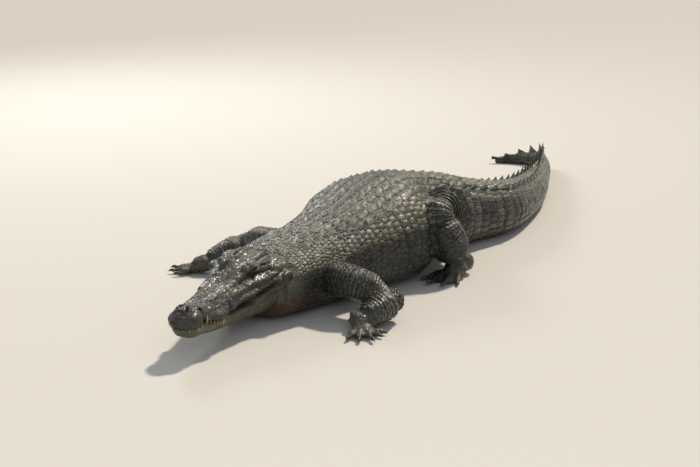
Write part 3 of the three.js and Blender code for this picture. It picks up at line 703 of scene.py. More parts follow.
class CROC_OT_skin(bpy.types.Operator):
    """Makes the one skin that covers all the flesh, with the head's lids, lips, ears and folds"""
    bl_idname = "crocodile.skin"
    bl_label = "Skin"

    def execute(self, context):
        form = context.scene.crocodile_form
        piece = plain_copy(FLESH)
        self.add_lids(piece)
        add_modifier(piece, "REMESH", mode="VOXEL", voxel_size=form.cell)
        self.smooth(piece, lambda points: ~near_paws(points), 4)
        self.smooth(piece, lambda points: ~(near_head(points) | near_paws(points)), 10)
        points = points_of(piece.data)
        edit_select(piece, ~(near_head(points, 1.12) | near_paws(points)))
        bpy.ops.mesh.decimate(ratio=form.body_share)
        bpy.ops.object.mode_set(mode="OBJECT")
        self.refine(piece, lambda points: near_head(points, 1.02) | near_paws(points))
        add_modifier(piece, "SMOOTH", factor=0.5, iterations=1)
        self.refine(piece, lambda points: near_eyes(points, 20) | near_nose(points))
        self.sink(piece, form.depth)
        sculpt_head(piece)
        sculpt_folds(piece)
        sculpt_eyes(piece)
        points = points_of(piece.data)
        points[:, 2] = np.maximum(points[:, 2], 0.0006)
        set_points(piece.data, points)
        marks = markings(points)
        # Painted shade for the skin that shows between the scales, less on the paws; on the head it follows how
        # open each place is.
        hollow_shade = np.where(near_paws(points), 0.5, 0.2)
        hollow_shade[RELIEF["chosen"]] = np.minimum(RELIEF["open"], 0.8)
        marks["relief_light"] = hollow_shade
        marks["tone"] = np.zeros(len(points))
        marks["gum"] = np.zeros(len(points))
        marks["gum"][RELIEF["chosen"]] = RELIEF["gum"]
        write_marks(piece.data, marks)
        piece.data.polygons.foreach_set("use_smooth", np.ones(len(piece.data.polygons), bool))
        finish_piece(piece, "skin", "hide", skin_material(), *FLESH)
        return {"FINISHED"}

    def add_lids(self, piece):
        """Joins a dome over each eyeball, for its lids."""
        domes = []
        for side in (1, -1):
            bpy.ops.object.select_all(action="DESELECT")
            bpy.ops.mesh.primitive_uv_sphere_add(
                segments=24, ring_count=16, radius=(EYE["radius"] + LID["thick"] + 1) * MM,
                location=eye_axes(side)[0])
            domes.append(bpy.context.object)
        only(piece)
        for dome in domes:
            dome.select_set(True)
        bpy.ops.object.join()

    def smooth(self, piece, choose, times):
        points = points_of(piece.data)
        group = piece.vertex_groups.new(name="soft")
        group.add([int(k) for k in np.flatnonzero(choose(points))], 1, "REPLACE")
        add_modifier(piece, "SMOOTH", factor=0.5, iterations=times, vertex_group="soft")
        piece.vertex_groups.clear()

    def refine(self, piece, choose):
        """Halves the faces where choose says so."""
        edit_select(piece, choose(points_of(piece.data)))
        bpy.ops.mesh.subdivide(number_cuts=1)
        bpy.ops.object.mode_set(mode="OBJECT")

    def sink(self, piece, depth):
        """Draws the skin in by the depth of the scales, which is least on face and feet."""
        points = points_of(piece.data)
        thin = near_head(points, 1.0) | near_paws(points)
        at, _, _ = spine_place(points)
        amount = depth * np.interp(at, (0, 150, 1400, 1950), (0.6, 1.0, 0.8, 0.25))
        amount = np.where(thin, 0.9 * MM, amount)
        set_points(piece.data, points - normals_of(piece.data) * amount[:, None])


RELIEF = {}


def along_line(share, start, end, width):
    """How near each head place is to the line from start to end: 1 on it, 0 at that distance."""
    start, end = np.array(start, float), np.array(end, float)
    way = end - start
    t = np.clip(((share - start) @ way) / (way @ way), 0, 1)
    away = np.linalg.norm(share - start - t[:, None] * way, axis=1)
    return hill(away, 0, width)


# Ridges (+) and grooves (-) of the head, on both sides: start, end, half width, height in mm.
# Those of the top are places (at, out) and those of the side are places (at, up).
TOP_LINES = [
    ((0.60, 0.075), (0.68, 0.085), 0.028, 4.0),      # brow, in front of the eye
    ((0.68, 0.070), (0.80, 0.080), 0.022, 5.0),      # brow over the eye
    ((0.80, 0.058), (1.05, 0.068), 0.024, 6.0),      # edge of the skull table
    ((0.83, 0.083), (1.03, 0.096), 0.013, -10.0),    # ear slit
    ((0.80, 0.131), (0.87, 0.154), 0.010, -4.5),     # crease behind the eye
    ((0.84, 0.108), (1.00, 0.118), 0.020, 3.0),      # ridge beside the ear
    ((0.28, 0.045), (0.60, 0.072), 0.026, 3.2),      # ridge from snout to brow
    ((0.34, 0.0), (0.62, 0.0), 0.034, -2.6),         # hollow between those ridges
    ((0.84, 0.0), (1.0, 0.0), 0.045, -2.0),          # hollow of the skull table
    ((0.058, 0.034), (0.088, 0.016), 0.009, -8.0),   # nostril
    ((0.050, 0.020), (0.078, 0.046), 0.014, 3.0),    # its rims
    ((0.092, 0.036), (0.102, 0.018), 0.014, 3.0),
    ((0.135, 0.0), (0.165, 0.08), 0.026, -4.0),      # behind the nose pad
]
SIDE_LINES = [
    ((0.59, 0.12), (0.67, 0.15), 0.024, -5.0),       # hollow before the eye
    ((0.69, 0.14), (0.84, 0.145), 0.022, -4.5),      # hollow under the eye
    ((0.62, 0.09), (0.86, 0.115), 0.026, 4.0),       # cheek bone
    ((0.68, 0.062), (0.80, 0.085), 0.018, -3.5),     # hollow under the cheek bone
    ((0.15, 0.03), (0.17, 0.09), 0.022, -6.0),       # pinch for the fourth tooth
    ((0.26, 0.02), (0.33, 0.015), 0.035, 4.0),       # swelling over the big upper teeth
    ((0.395, 0.0), (0.41, 0.05), 0.022, -4.0),       # dip behind it
    ((0.47, 0.075), (0.58, 0.085), 0.03, 3.5),       # swelling half way along the jaw
    ((0.45, -0.05), (0.85, -0.02), 0.03, 2.0),       # lower jaw's swell
]
REAR_LINES = [                                       # places (at, out, up)
    ((0.848, 0.226, 0.064), (0.915, 0.268, 0.092), 0.036, 17.0),   # lump at the mouth's corner
    ((0.862, 0.300, 0.050), (0.965, 0.332, 0.094), 0.014, 16.0),   # leaf at the jaw's rear corner
    ((0.815, 0.205, 0.096), (0.925, 0.258, 0.132), 0.010, -5.0),   # crease over the lump
    ((0.90, 0.20, 0.15), (1.02, 0.25, 0.14), 0.05, 4.0),           # end of the upper jaw
]
NOSE_PAD = (0.085, 0.055, 3.5)                       # at, radius, height
LUMP = (0.880, 0.247, 0.077)                         # the smooth swelling at the mouth's corner


def sculpt_head(piece):
    """Raises the head's ridges and lumps, and cuts its grooves, mouth and skin grain."""
    mesh = piece.data
    points = points_of(mesh)
    chosen = near_head(points, 1.06)
    spots = points[chosen]
    share = to_head(spots)
    at, out, up = share.T
    top = np.column_stack([at, np.abs(out)])
    side = np.column_stack([at, up])
    on_top = step_up(up - np.interp(at, (0, 0.6, 0.75, 1.1), (0.06, 0.09, 0.15, 0.15)), 0, 0.02)
    on_side = step_up(np.abs(out) - np.interp(at, (0, 0.5, 1), (0.03, 0.075, 0.13)), 0, 0.02)
    fade = step_up(-at, -1.05, -0.97)
    raised = sum(along_line(top, *line[:3]) * line[3] for line in TOP_LINES) * on_top
    raised += sum(along_line(side, *line[:3]) * line[3] for line in SIDE_LINES) * on_side
    even = np.column_stack([at, np.abs(out), up])
    raised += sum(along_line(even, *line[:3]) * line[3] for line in REAR_LINES)
    place_at, radius, height = NOSE_PAD
    raised += hill(np.hypot(at - place_at, out), 0, radius) * height * on_top
    groove = raised < -2.5
    away = up - np.interp(at, LIP_AT, LIP_UP)
    gape = np.interp(at, GAPE_AT, GAPE)
    lip_zone = step_up(-at, -0.84, -0.81)
    inside = step_up(away, -0.008, -0.001) * step_up(gape - away, -0.008, -0.001) * lip_zone
    raised = np.where(inside > 0, raised * (1 - inside), raised) - inside * (5 + 200 * gape)
    raised += hill(away - gape, 0.022, 0.022) * lip_zone * (2.0 + 60 * gape)
    raised += hill(away, -0.02, 0.02) * lip_zone * (2.2 + 50 * gape)

    snout = step_up(-at, -0.68, -0.5)
    upper = step_up(away - gape, 0.01, 0.04)
    lower = 1 - upper
    bone = step_up(up, 0.05, 0.12) * upper
    lump = np.linalg.norm(np.abs(share) - LUMP, axis=1)
    rough = (1 - inside) * step_up(lump, 0.035, 0.055)
    raised += grain(spots, 0.011, 21) * (1.2 * upper + 0.5 * snout + 0.2 * lower) * rough
    raised += grain(spots, 0.0055, 22) * (0.7 * upper + 0.12 * lower) * rough
    pits = 1 - cracks(spots, 0.0085, 31)
    wide = 1 - cracks(spots, 0.018, 41)
    raised -= (pits * (0.9 * bone + 0.35 * lower) + wide * 1.1 * bone) * rough
    RELIEF["chosen"] = chosen
    # The mouth's gap takes the dark gum colour, which stands for the gum in the shade of the upper lip.
    RELIEF["gum"] = inside * step_up(gape, 0.004, 0.02)
    # Pits, grooves and the mouth's gap get painted shade: the lower this value, the darker.
    RELIEF["open"] = np.clip(
        1 - 0.9 * inside - 0.45 * pits * (bone + 0.3 * lower) - 0.3 * wide * bone - 0.8 * groove, 0, 1)
    normal = normals_of(mesh)[chosen]
    points[chosen] = spots + normal * (raised * fade * MM)[:, None]
    set_points(mesh, points)


def eye_axes(side):
    """The eye's centre, and its ways along the lids, up and outwards, in the frame."""
    centre = from_head([EYE["at"], side * EYE["out"], EYE["up"]])
    out = HEAD_AXES @ np.array([-0.28, -side * 0.9, 0.34])
    out /= np.linalg.norm(out)
    along = HEAD_AXES @ np.array([1, 0, 0.12])
    along -= out * (along @ out)
    along /= np.linalg.norm(along)
    up = np.cross(along, out) * side
    if up[2] < 0:
        up = -up
    return centre, along, up, out


# Eyelids in mm: half length of the opening, its rise and drop, thickness, and reach over the brow.
LID = {"half": 12.0, "rise": 2.6, "drop": 4.4, "thick": 2.3, "blend": 6.0}


def sculpt_eyes(piece):
    """Wraps the lids round the eyeballs, leaving an almond opening under a heavy upper lid."""
    mesh = piece.data
    points = points_of(mesh)
    radius = EYE["radius"]
    for side in (1, -1):
        centre, along, up, out = eye_axes(side)
        near = np.flatnonzero(np.linalg.norm(points - centre, axis=1) < (radius + 12) * MM)
        local = (points[near] - centre) / MM
        p, q, r = local @ along, local @ up, local @ out
        flat = np.hypot(p, q)
        ball = np.sqrt(np.maximum(radius**2 - flat**2, 0))
        arch = np.clip(1 - (p / LID["half"]) ** 2, 0, 1)
        middle = (LID["rise"] - LID["drop"]) / 2
        half = (LID["rise"] + LID["drop"]) / 2 * arch**0.8
        from_edge = np.abs(q - middle) - half
        opening = step_up(-from_edge, -0.6, 0.6) * (np.abs(p) < LID["half"])
        fold = 1.6 * hill(from_edge, 1.6, 2.2) - 1.4 * hill(from_edge, 5.0, 1.6) * (q > 0)
        lid = ball + LID["thick"] + fold
        target = lid * (1 - opening) + (ball - 3.5) * opening
        cover = step_up(-flat, -radius - LID["blend"] * 0.2, -radius * 0.78) * (r > -2)
        new = r + (target - r) * cover
        points[near] = centre + (np.outer(p, along) + np.outer(q, up) + np.outer(new, out)) * MM
    set_points(mesh, points)


def sculpt_folds(piece):
    """Folds of loose skin: along the neck's side and across the shoulders."""
    mesh = piece.data
    points = points_of(mesh)
    normal = normals_of(mesh)
    at, left, height = spine_place(points)
    out = np.abs(left) / row("wide", at)
    wander = grain(points, 0.05, 51)
    side = hill(height, 60, 62) * hill(at, 55, 120) * step_up(out, 0.55, 0.8)
    wave = np.sin((height + 6 * wander) / 18 * 2 * math.pi)
    raised = side * wave * 2.6 * (1 - near_head(points, 1.0))
    shoulder = hill(at, 215, 70) * step_up(out, 0.75, 0.95) * step_up(-out, -1.35, -1.1)
    raised += shoulder * np.sin((left + 7 * wander) / 19 * 2 * math.pi) * 2.0
    set_points(mesh, points + normal * (raised * MM)[:, None])


SURFACE = {}


def surface():
    """The finished skin as a tree that rays can be cast at."""
    if "tree" not in SURFACE:
        mesh = bpy.data.objects["skin"].data
        mesh.calc_loop_triangles()
        faces = np.empty(len(mesh.loop_triangles) * 3, np.int32)
        mesh.loop_triangles.foreach_get("vertices", faces)
        points = points_of(mesh)
        SURFACE["tree"] = BVHTree.FromPolygons(points.tolist(), faces.reshape(-1, 3).tolist())
        SURFACE["points"] = points
        SURFACE["faces"] = faces.reshape(-1, 3)
        ways = normals_of(mesh)
        tree = KDTree(len(points))
        for k, point in enumerate(points):
            tree.insert(point, k)
        tree.balance()
        SURFACE["near"] = tree
        SURFACE["ways"] = ways
    return SURFACE


def cast(start, target):
    """Where the ray from start through target leaves the skin, with the smoothed normal there."""
    way = Vector(target) - Vector(start)
    hit, _, face, reach = surface()["tree"].ray_cast(Vector(start), way.normalized())
    if hit is None:
        return None
    corners = SURFACE["faces"][face]
    smooth = SURFACE["ways"][corners].mean(0)
    return np.array(hit), smooth / np.linalg.norm(smooth), reach


# ---------------------------------------------------------------- scale shapes

TEMPLATES = {}


def template(name, make):
    """Points, faces and light value of a scale shape, modelled once and kept: the value, from the scale's foot to
    its top, sets its painted shade and painted highlight.
    """
    if name not in TEMPLATES:
        make()
        piece = bpy.context.object
        bpy.ops.object.mode_set(mode="OBJECT")
        add_modifier(piece, "TRIANGULATE")
        points = points_of(piece.data)
        faces = np.array([tuple(face.vertices) for face in piece.data.polygons])
        low, high = points[:, 2].min(), points[:, 2].max()
        # From 0 at the scale's foot, painted in shade, to 1 at its top, painted with a highlight.
        relief_light = np.clip((points[:, 2] - low) / (high - low) * 1.6 - 0.35, 0, 1)
        bpy.data.objects.remove(piece)
        TEMPLATES[name] = (points, faces, relief_light)
    return TEMPLATES[name]


def pick(test):
    """Selects the points of the mesh in edit mode that pass the test."""
    bpy.ops.mesh.select_mode(type="VERT")
    bpy.ops.mesh.select_all(action="DESELECT")
    net = bmesh.from_edit_mesh(bpy.context.object.data)
    for point in net.verts:
        point.select = bool(test(point.co))
    net.select_flush(True)
    bmesh.update_edit_mesh(bpy.context.object.data)


def shift(x=0.0, y=0.0, z=0.0):
    bpy.ops.transform.translate(value=(x, y, z))


def start_grid(steps):
    bpy.ops.object.select_all(action="DESELECT")
    bpy.ops.mesh.primitive_grid_add(x_subdivisions=steps, y_subdivisions=steps, size=2)
    bpy.ops.object.mode_set(mode="EDIT")


def start_ring(corners):
    bpy.ops.object.select_all(action="DESELECT")
    bpy.ops.mesh.primitive_circle_add(vertices=corners, radius=1, fill_type="NGON")
    bpy.ops.object.mode_set(mode="EDIT")


def drop_edge(depth, spread):
    """Runs the border down into the skin."""
    bpy.ops.mesh.select_mode(type="EDGE")
    bpy.ops.mesh.select_all(action="DESELECT")
    net = bmesh.from_edit_mesh(bpy.context.object.data)
    for edge in net.edges:
        edge.select = edge.is_boundary
    bmesh.update_edit_mesh(bpy.context.object.data)
    bpy.ops.mesh.extrude_edges_move(TRANSFORM_OT_translate={"value": (0, 0, -depth)})
    bpy.ops.transform.resize(value=(spread, spread, 1))


def keeled_plate():
    """A bone plate of the back: square with blunted corners, a keel that climbs to its rear edge."""
    start_grid(4)
    pick(lambda co: abs(co.x) > 0.9 and abs(co.y) > 0.9)
    bpy.ops.transform.resize(value=(0.86, 0.84, 1))
    pick(lambda co: abs(co.x) < 0.6 and abs(co.y) < 0.6)
    bpy.ops.transform.resize(value=(1.2, 1.2, 1))
    shift(z=0.2)
    pick(lambda co: co.x > 0.4 and abs(co.y) < 0.7)
    shift(z=0.08)
    for reach, rise in ((-0.9, 0.1), (-0.3, 0.16), (0.2, 0.2), (0.8, 0.22)):
        pick(lambda co: abs(co.y) < 0.1 and co.x > reach)
        shift(z=rise)
    pick(lambda co: abs(co.y) < 0.1 and co.x > 0.9)
    shift(x=0.2, z=0.02)
    pick(lambda co: co.x > 0.9)
    shift(z=0.1)
    drop_edge(0.5, 0.97)


def flat_plate():
    """A belly or tail plate: a rectangle with softened edges and a lifted rear."""
    start_grid(3)
    pick(lambda co: abs(co.x) > 0.9 and abs(co.y) > 0.9)
    bpy.ops.transform.resize(value=(0.9, 0.88, 1))
    pick(lambda co: abs(co.x) < 0.5 and abs(co.y) < 0.5)
    bpy.ops.transform.resize(value=(2.1, 2.1, 1))
    shift(z=0.6)
    pick(lambda co: co.x > 0.5)
    shift(z=0.35)
    drop_edge(0.7, 1.0)


def oval_boss():
    """A flank scale: a low cushion, square with round corners and higher towards its rear."""
    start_grid(3)
    pick(lambda co: abs(co.x) > 0.9 and abs(co.y) > 0.9)
    bpy.ops.transform.resize(value=(0.82, 0.82, 1))
    pick(lambda co: abs(co.x) < 0.5 and abs(co.y) < 0.5)
    bpy.ops.transform.resize(value=(1.8, 1.8, 1))
    shift(z=0.7)
    pick(lambda co: co.x > 0.45)
    shift(z=0.25)
    drop_edge(0.6, 0.96)


def pebble():
    """A small round scale with few faces."""
    start_ring(6)
    bpy.ops.mesh.inset(thickness=0.3)
    shift(z=0.75)
    bpy.ops.mesh.poke(offset=0.25)
    drop_edge(0.4, 1.0)


def band():
    """A leg scale: a short wide tile whose far edge stands over the next row."""
    start_grid(3)
    pick(lambda co: abs(co.x) > 0.9 and abs(co.y) > 0.9)
    bpy.ops.transform.resize(value=(0.74, 0.88, 1))
    pick(lambda co: abs(co.x) < 0.5 and abs(co.y) < 0.5)
    bpy.ops.transform.resize(value=(1.5, 2.1, 1))
    shift(z=0.6)
    pick(lambda co: 0.3 < co.x < 0.6 and abs(co.y) < 0.75)
    shift(x=0.15, z=0.4)
    drop_edge(0.6, 0.97)


def blade():
    """A crest scute: a tall leaf set upright, thick at its foot and swept back to a thin tip."""
    start_grid(4)
    bpy.ops.mesh.select_all(action="SELECT")
    bpy.ops.transform.resize(value=(1, 1, 1))
    net = bmesh.from_edit_mesh(bpy.context.object.data)
    for point in net.verts:
        tall = (1 - abs(point.co.y)) ** 0.9
        sweep = 0.85 * tall**1.2
        width = 1 - 0.86 * tall
        point.co = (point.co.x * width + sweep, point.co.y * (1 - 0.5 * tall) * (1 - 0.35 * point.co.x**2),
                    tall * (1 - 0.12 * point.co.x**2) * 1.0)
    bmesh.update_edit_mesh(bpy.context.object.data)
    drop_edge(0.25, 1.0)


# ---------------------------------------------------------------- laying scales

LAID = []          # root and radius of every scale that is laid, for the pebbles to keep clear of


PLATES = []        # the back's plates alone, for the neck's scales to keep clear of


class Scales:
    """Collects the places of one kind of scale, then joins one copy of its shape at each."""

    # The last setting scales the light value of the scale's relief, which paints shade at its foot and a
    # highlight at its top.
    def __init__(self, shape, make, wear_and_highlight=1.0):
        self.shape, self.make, self.wear_and_highlight = shape, make, wear_and_highlight
        self.rows = []

    def add(self, root, normal, lie, size, spot, tone=0.0):
        """root and ways in the frame, size (long, wide, tall) in mm, spot its place on the unwrap."""
        self.rows.append((root, normal, lie, size, spot, tone))
        LAID.append((*root, min(size[0], size[1]) * MM))

    def join(self, name, slot="hide", material=None, lift=0.35):
        points, faces, relief_light = template(self.shape, self.make)
        root = np.array([r[0] for r in self.rows])
        normal = np.array([r[1] for r in self.rows])
        lie = np.array([r[2] for r in self.rows])
        size = np.array([r[3] for r in self.rows]) * MM
        spot = np.array([r[4] for r in self.rows])
        tone = np.array([r[5] for r in self.rows])
        lie = lie - normal * (lie * normal).sum(1)[:, None]
        lie /= np.linalg.norm(lie, axis=1)[:, None]
        across = np.cross(normal, lie)
        count = len(points)
        spread = (lie[:, None] * (points[None, :, 0:1] * size[:, None, 0:1])
                  + across[:, None] * (points[None, :, 1:2] * size[:, None, 1:2])
                  + normal[:, None] * (points[None, :, 2:3] * size[:, None, 2:3]))
        spots = (root[:, None] + spread).reshape(-1, 3)
        spots[:, 2] = np.maximum(spots[:, 2], 0.0002)
        every = (faces[None] + (np.arange(len(root)) * count)[:, None, None]).reshape(-1, 3)
        mesh = bpy.data.meshes.new(name)
        mesh.vertices.add(len(spots))
        mesh.loops.add(every.size)
        mesh.polygons.add(len(every))
        mesh.vertices.foreach_set("co", spots.astype(np.float32).ravel())
        mesh.loops.foreach_set("vertex_index", every.astype(np.int32).ravel())
        mesh.polygons.foreach_set("loop_start", np.arange(0, every.size, 3, dtype=np.int32))
        mesh.update(calc_edges=True)
        mesh.validate()
        patch = np.clip(points[:, :2], -1, 1) * PATCH / 2
        flat = (spot[:, None] + patch[None]).reshape(-1, 2)
        layer = mesh.uv_layers.new(name="OFBake")
        layer.data.foreach_set("uv", flat[every.ravel()].astype(np.float32).ravel())
        marks = {key: np.repeat(value, count) for key, value in markings(root).items()}
        # The foot of each scale is painted in shade and its top with a highlight; this value sets both.
        marks["relief_light"] = np.tile((0.12 + 0.88 * relief_light) * self.wear_and_highlight, len(root))
        marks["tone"] = np.repeat(tone, count)
        write_marks(mesh, marks)
        mesh.polygons.foreach_set("use_smooth", np.ones(len(mesh.polygons), bool))
        piece = bpy.data.objects.new(name, mesh)
        bpy.context.scene.collection.objects.link(piece)
        only(piece)
        bpy.ops.object.shade_smooth_by_angle(angle=math.radians(52))
        finish_piece(piece, name, slot, material or scale_material())
        print(name, len(root), "scales", len(every), "triangles")
        return piece


PATCH = 0.003


def body_spot(at, turn):
    """The unwrap of the body's tube: along it one way, and round it the other."""
    return (0.02 + 0.96 * (at + 60) / 2050, 0.5 + turn / math.pi * 0.48)


def around(at, turns=90):
    """Turns from the middle of the back to the middle of the belly, and the arc up to each."""
    turn = np.linspace(0, math.pi, turns)
    left, height = section(at, turn)
    arc = np.concatenate([[0], np.cumsum(np.hypot(np.diff(left), np.diff(height)))])
    return turn, arc


def body_hit(at, turn, slack=14):
    """Skin place at a turn round the body, or None where a leg or the head stands in the way."""
    left, height = section(at, turn)
    core = body_point(at, 0, row("line", at))
    target = body_point(at, left, height)
    found = cast(core, target)
    if found is None:
        return None
    root, normal, reach = found
    if abs(reach - np.linalg.norm(target - core)) > slack * MM:
        return None
    if to_head([root])[0, 0] < 1.0:
        return None
    lie = body_point(at + 4, left, height) - body_point(at - 4, left, height)
    return root, normal, lie


RANDOM = np.random.default_rng(7)


def jitter(amount):
    return 1 + RANDOM.uniform(-amount, amount)


class CROC_OT_back(bpy.types.Operator):
    """Lays the keeled bone plates of neck, back and hips"""
    bl_idname = "crocodile.back"
    bl_label = "Back plates"

    def execute(self, context):
        pitch = context.scene.crocodile_scales.back / MM
        plates = Scales("keeled_plate", keeled_plate)
        at = 178.0
        while at < 800:
            turn, arc = around(at)
            wide = np.interp(at, (170, 300, 420, 600, 790), (25, 29, 31, 28, 24))
            count = 3 if at < 215 else 4
            for side in (-1, 1):
                for k in range(count):
                    angle = side * np.interp((k + 0.5) * wide, arc, turn)
                    found = body_hit(at + RANDOM.uniform(-2, 2), angle)
                    if found is None:
                        continue
                    root, normal, lie = found
                    tall = (9.5 if k == count - 1 else 8.0 if k else 6.0) * jitter(0.15)
                    plates.add(root - normal * 0.5 * MM, normal, lie,
                               (pitch * 0.5, wide * 0.47 * jitter(0.05), tall),
                               body_spot(at, angle), RANDOM.uniform(-0.5, 0.5))
            at += pitch
        # The shield on the neck: four large plates and two beside them, and a row behind the skull.
        for place_at, angle, size in (
                (78, 0.19, 19), (78, -0.19, 19), (118, 0.17, 18), (118, -0.17, 18),
                (94, 0.5, 16), (94, -0.5, 16), (146, 0.42, 12), (146, -0.42, 12),
                (24, 0.16, 9), (24, -0.16, 9), (27, 0.42, 9), (27, -0.42, 9)):
            found = body_hit(place_at, angle, 30)
            if found:
                root, normal, lie = found
                plates.add(root, normal, lie, (size, size * 0.78, size * 0.5),
                           body_spot(place_at, angle), RANDOM.uniform(-0.2, 0.2))
        plates.join("back_plates")
        PLATES.extend(LAID)
        return {"FINISHED"}


class CROC_OT_flank(bpy.types.Operator):
    """Lays the rows of oval scales on the flanks and the sides of the neck"""
    bl_idname = "crocodile.flank"
    bl_label = "Flank scales"

    def execute(self, context):
        pitch = context.scene.crocodile_scales.flank / MM
        ovals = Scales("oval_boss", oval_boss)
        at, column = 28.0, 0
        while at < 795:
            turn, arc = around(at)
            plates = 4 * np.interp(at, (170, 300, 420, 600, 790), (25, 29, 31, 28, 24))
            plates = plates if at > 170 else -4
            belly = np.interp(2.25, turn, arc)
            local = pitch * np.interp(at, (28, 160, 330), (0.52, 0.62, 0.95))
            run = plates + local * 0.4 + (column % 2) * local * 0.42
            while run < belly:
                share = (run - plates) / (belly - plates)
                size = local * (1.02 - 0.22 * share) * jitter(0.1)
                for side in (-1, 1):
                    angle = side * np.interp(run, arc, turn)
                    found = body_hit(at + RANDOM.uniform(-1.5, 1.5), angle)
                    if found and (at > 185 or self.clear(found[0], local * 0.3)):
                        root, normal, lie = found
                        tall = size * 0.13 * jitter(0.3)
                        ovals.add(root, normal, lie, (size * 0.5 * jitter(0.06), size * 0.4 * jitter(0.06), tall),
                                  body_spot(at, angle), RANDOM.uniform(-0.7, 0.7))
                run += size * 0.86
            at += local * 0.98
            column += 1
        ovals.join("flank_scales")
        return {"FINISHED"}


    def clear(self, root, room):
        """True where no plate of the neck's shield is in the way."""
        x, y, z = root
        return all((x - a) ** 2 + (y - b) ** 2 + (z - c) ** 2 > (radius + room * MM) ** 2
                   for a, b, c, radius in PLATES)


class CROC_OT_belly(bpy.types.Operator):
    """Lays the straight rows of flat plates on belly and throat"""
    bl_idname = "crocodile.belly"
    bl_label = "Belly plates"

    def execute(self, context):
        plates = Scales("flat_plate", flat_plate)
        at = 96.0
        while at < 800:
            turn, arc = around(at)
            start = np.interp(2.25, turn, arc)
            count = max(2, int(round((arc[-1] - start) / 21)))
            wide = (arc[-1] - start) / count
            for side in (-1, 1):
                for k in range(count):
                    angle = side * np.interp(start + (k + 0.5) * wide, arc, turn)
                    found = body_hit(at, angle, 18)
                    if found:
                        root, normal, lie = found
                        plates.add(root - normal * 0.2 * MM, normal, lie, (12.6, wide * 0.48, 2.0),
                                   body_spot(at, angle), RANDOM.uniform(-0.2, 0.2))
            at += 24
        plates.join("belly_plates")
        return {"FINISHED"}


class CROC_OT_tail(bpy.types.Operator):
    """Lays the whorls of rectangular scales round the tail"""
    bl_idname = "crocodile.tail"
    bl_label = "Tail whorls"

    def execute(self, context):
        plates = Scales("flat_plate", flat_plate)
        at = 806.0
        while at < TAIL_END:
            turn, arc = around(at)
            pitch = np.interp(at, (800, 1300, 1950), (31, 24, 12))
            count = max(4, int(round(arc[-1] / np.interp(at, (800, 1950), (21, 8)))))
            wide = arc[-1] / count
            for side in (-1, 1):
                for k in range(count):
                    angle = side * np.interp((k + 0.5) * wide, arc, turn)
                    found = body_hit(at, angle, 20)
                    if found:
                        root, normal, lie = found
                        tall = np.interp(at, (800, 1500, 1950), (2.9, 2.3, 1.1)) * jitter(0.2)
                        plates.add(root - normal * 0.2 * MM, normal, lie,
                                   (pitch * 0.51, wide * 0.49, tall),
                                   body_spot(at, angle), RANDOM.uniform(-0.6, 0.6))
            at += pitch
        plates.join("tail_whorls")
        return {"FINISHED"}


class CROC_OT_crest(bpy.types.Operator):
    """Stands the tail's crest: two rows of upright scutes that meet in one"""
    bl_idname = "crocodile.crest"
    bl_label = "Crest"

    def execute(self, context):
        blades = Scales("blade", blade)
        count = round((CREST["to"] - CREST["from"]) / CREST["pitch"])
        for k in range(count + 1):
            at = CREST["from"] + k * CREST["pitch"]
            near = min(1, max(0, (CREST["meet"] - at) / (CREST["meet"] - CREST["from"])))
            grown = 0.05 + 0.95 * min(1, (1 - near) * 1.1) ** 2.2
            fade = min(1, max(0, (CREST["low"] - at) / 160)) ** 1.2
            tall = CREST["tallest"] * grown * fade + CREST["least"]
            wide = row("wide", at)
            for side in (-1, 1) if near > 0 else (0,):
                left = side * wide * CREST["spread"] * near**0.6
                edge = row("line", at) + row("top", at) * (1 - (left / wide) ** 2) ** 0.5
                lie = body_point(at + 4, left, 0) - body_point(at - 4, left, 0)
                blades.add(body_point(at, left, edge - 6), np.array([0, 0, 1.0]), lie,
                           (CREST["pitch"] * 0.5, 7, tall * 0.9),
                           body_spot(at, side * 0.5), RANDOM.uniform(-0.15, 0.15))
        blades.join("crest_blades")
        return {"FINISHED"}


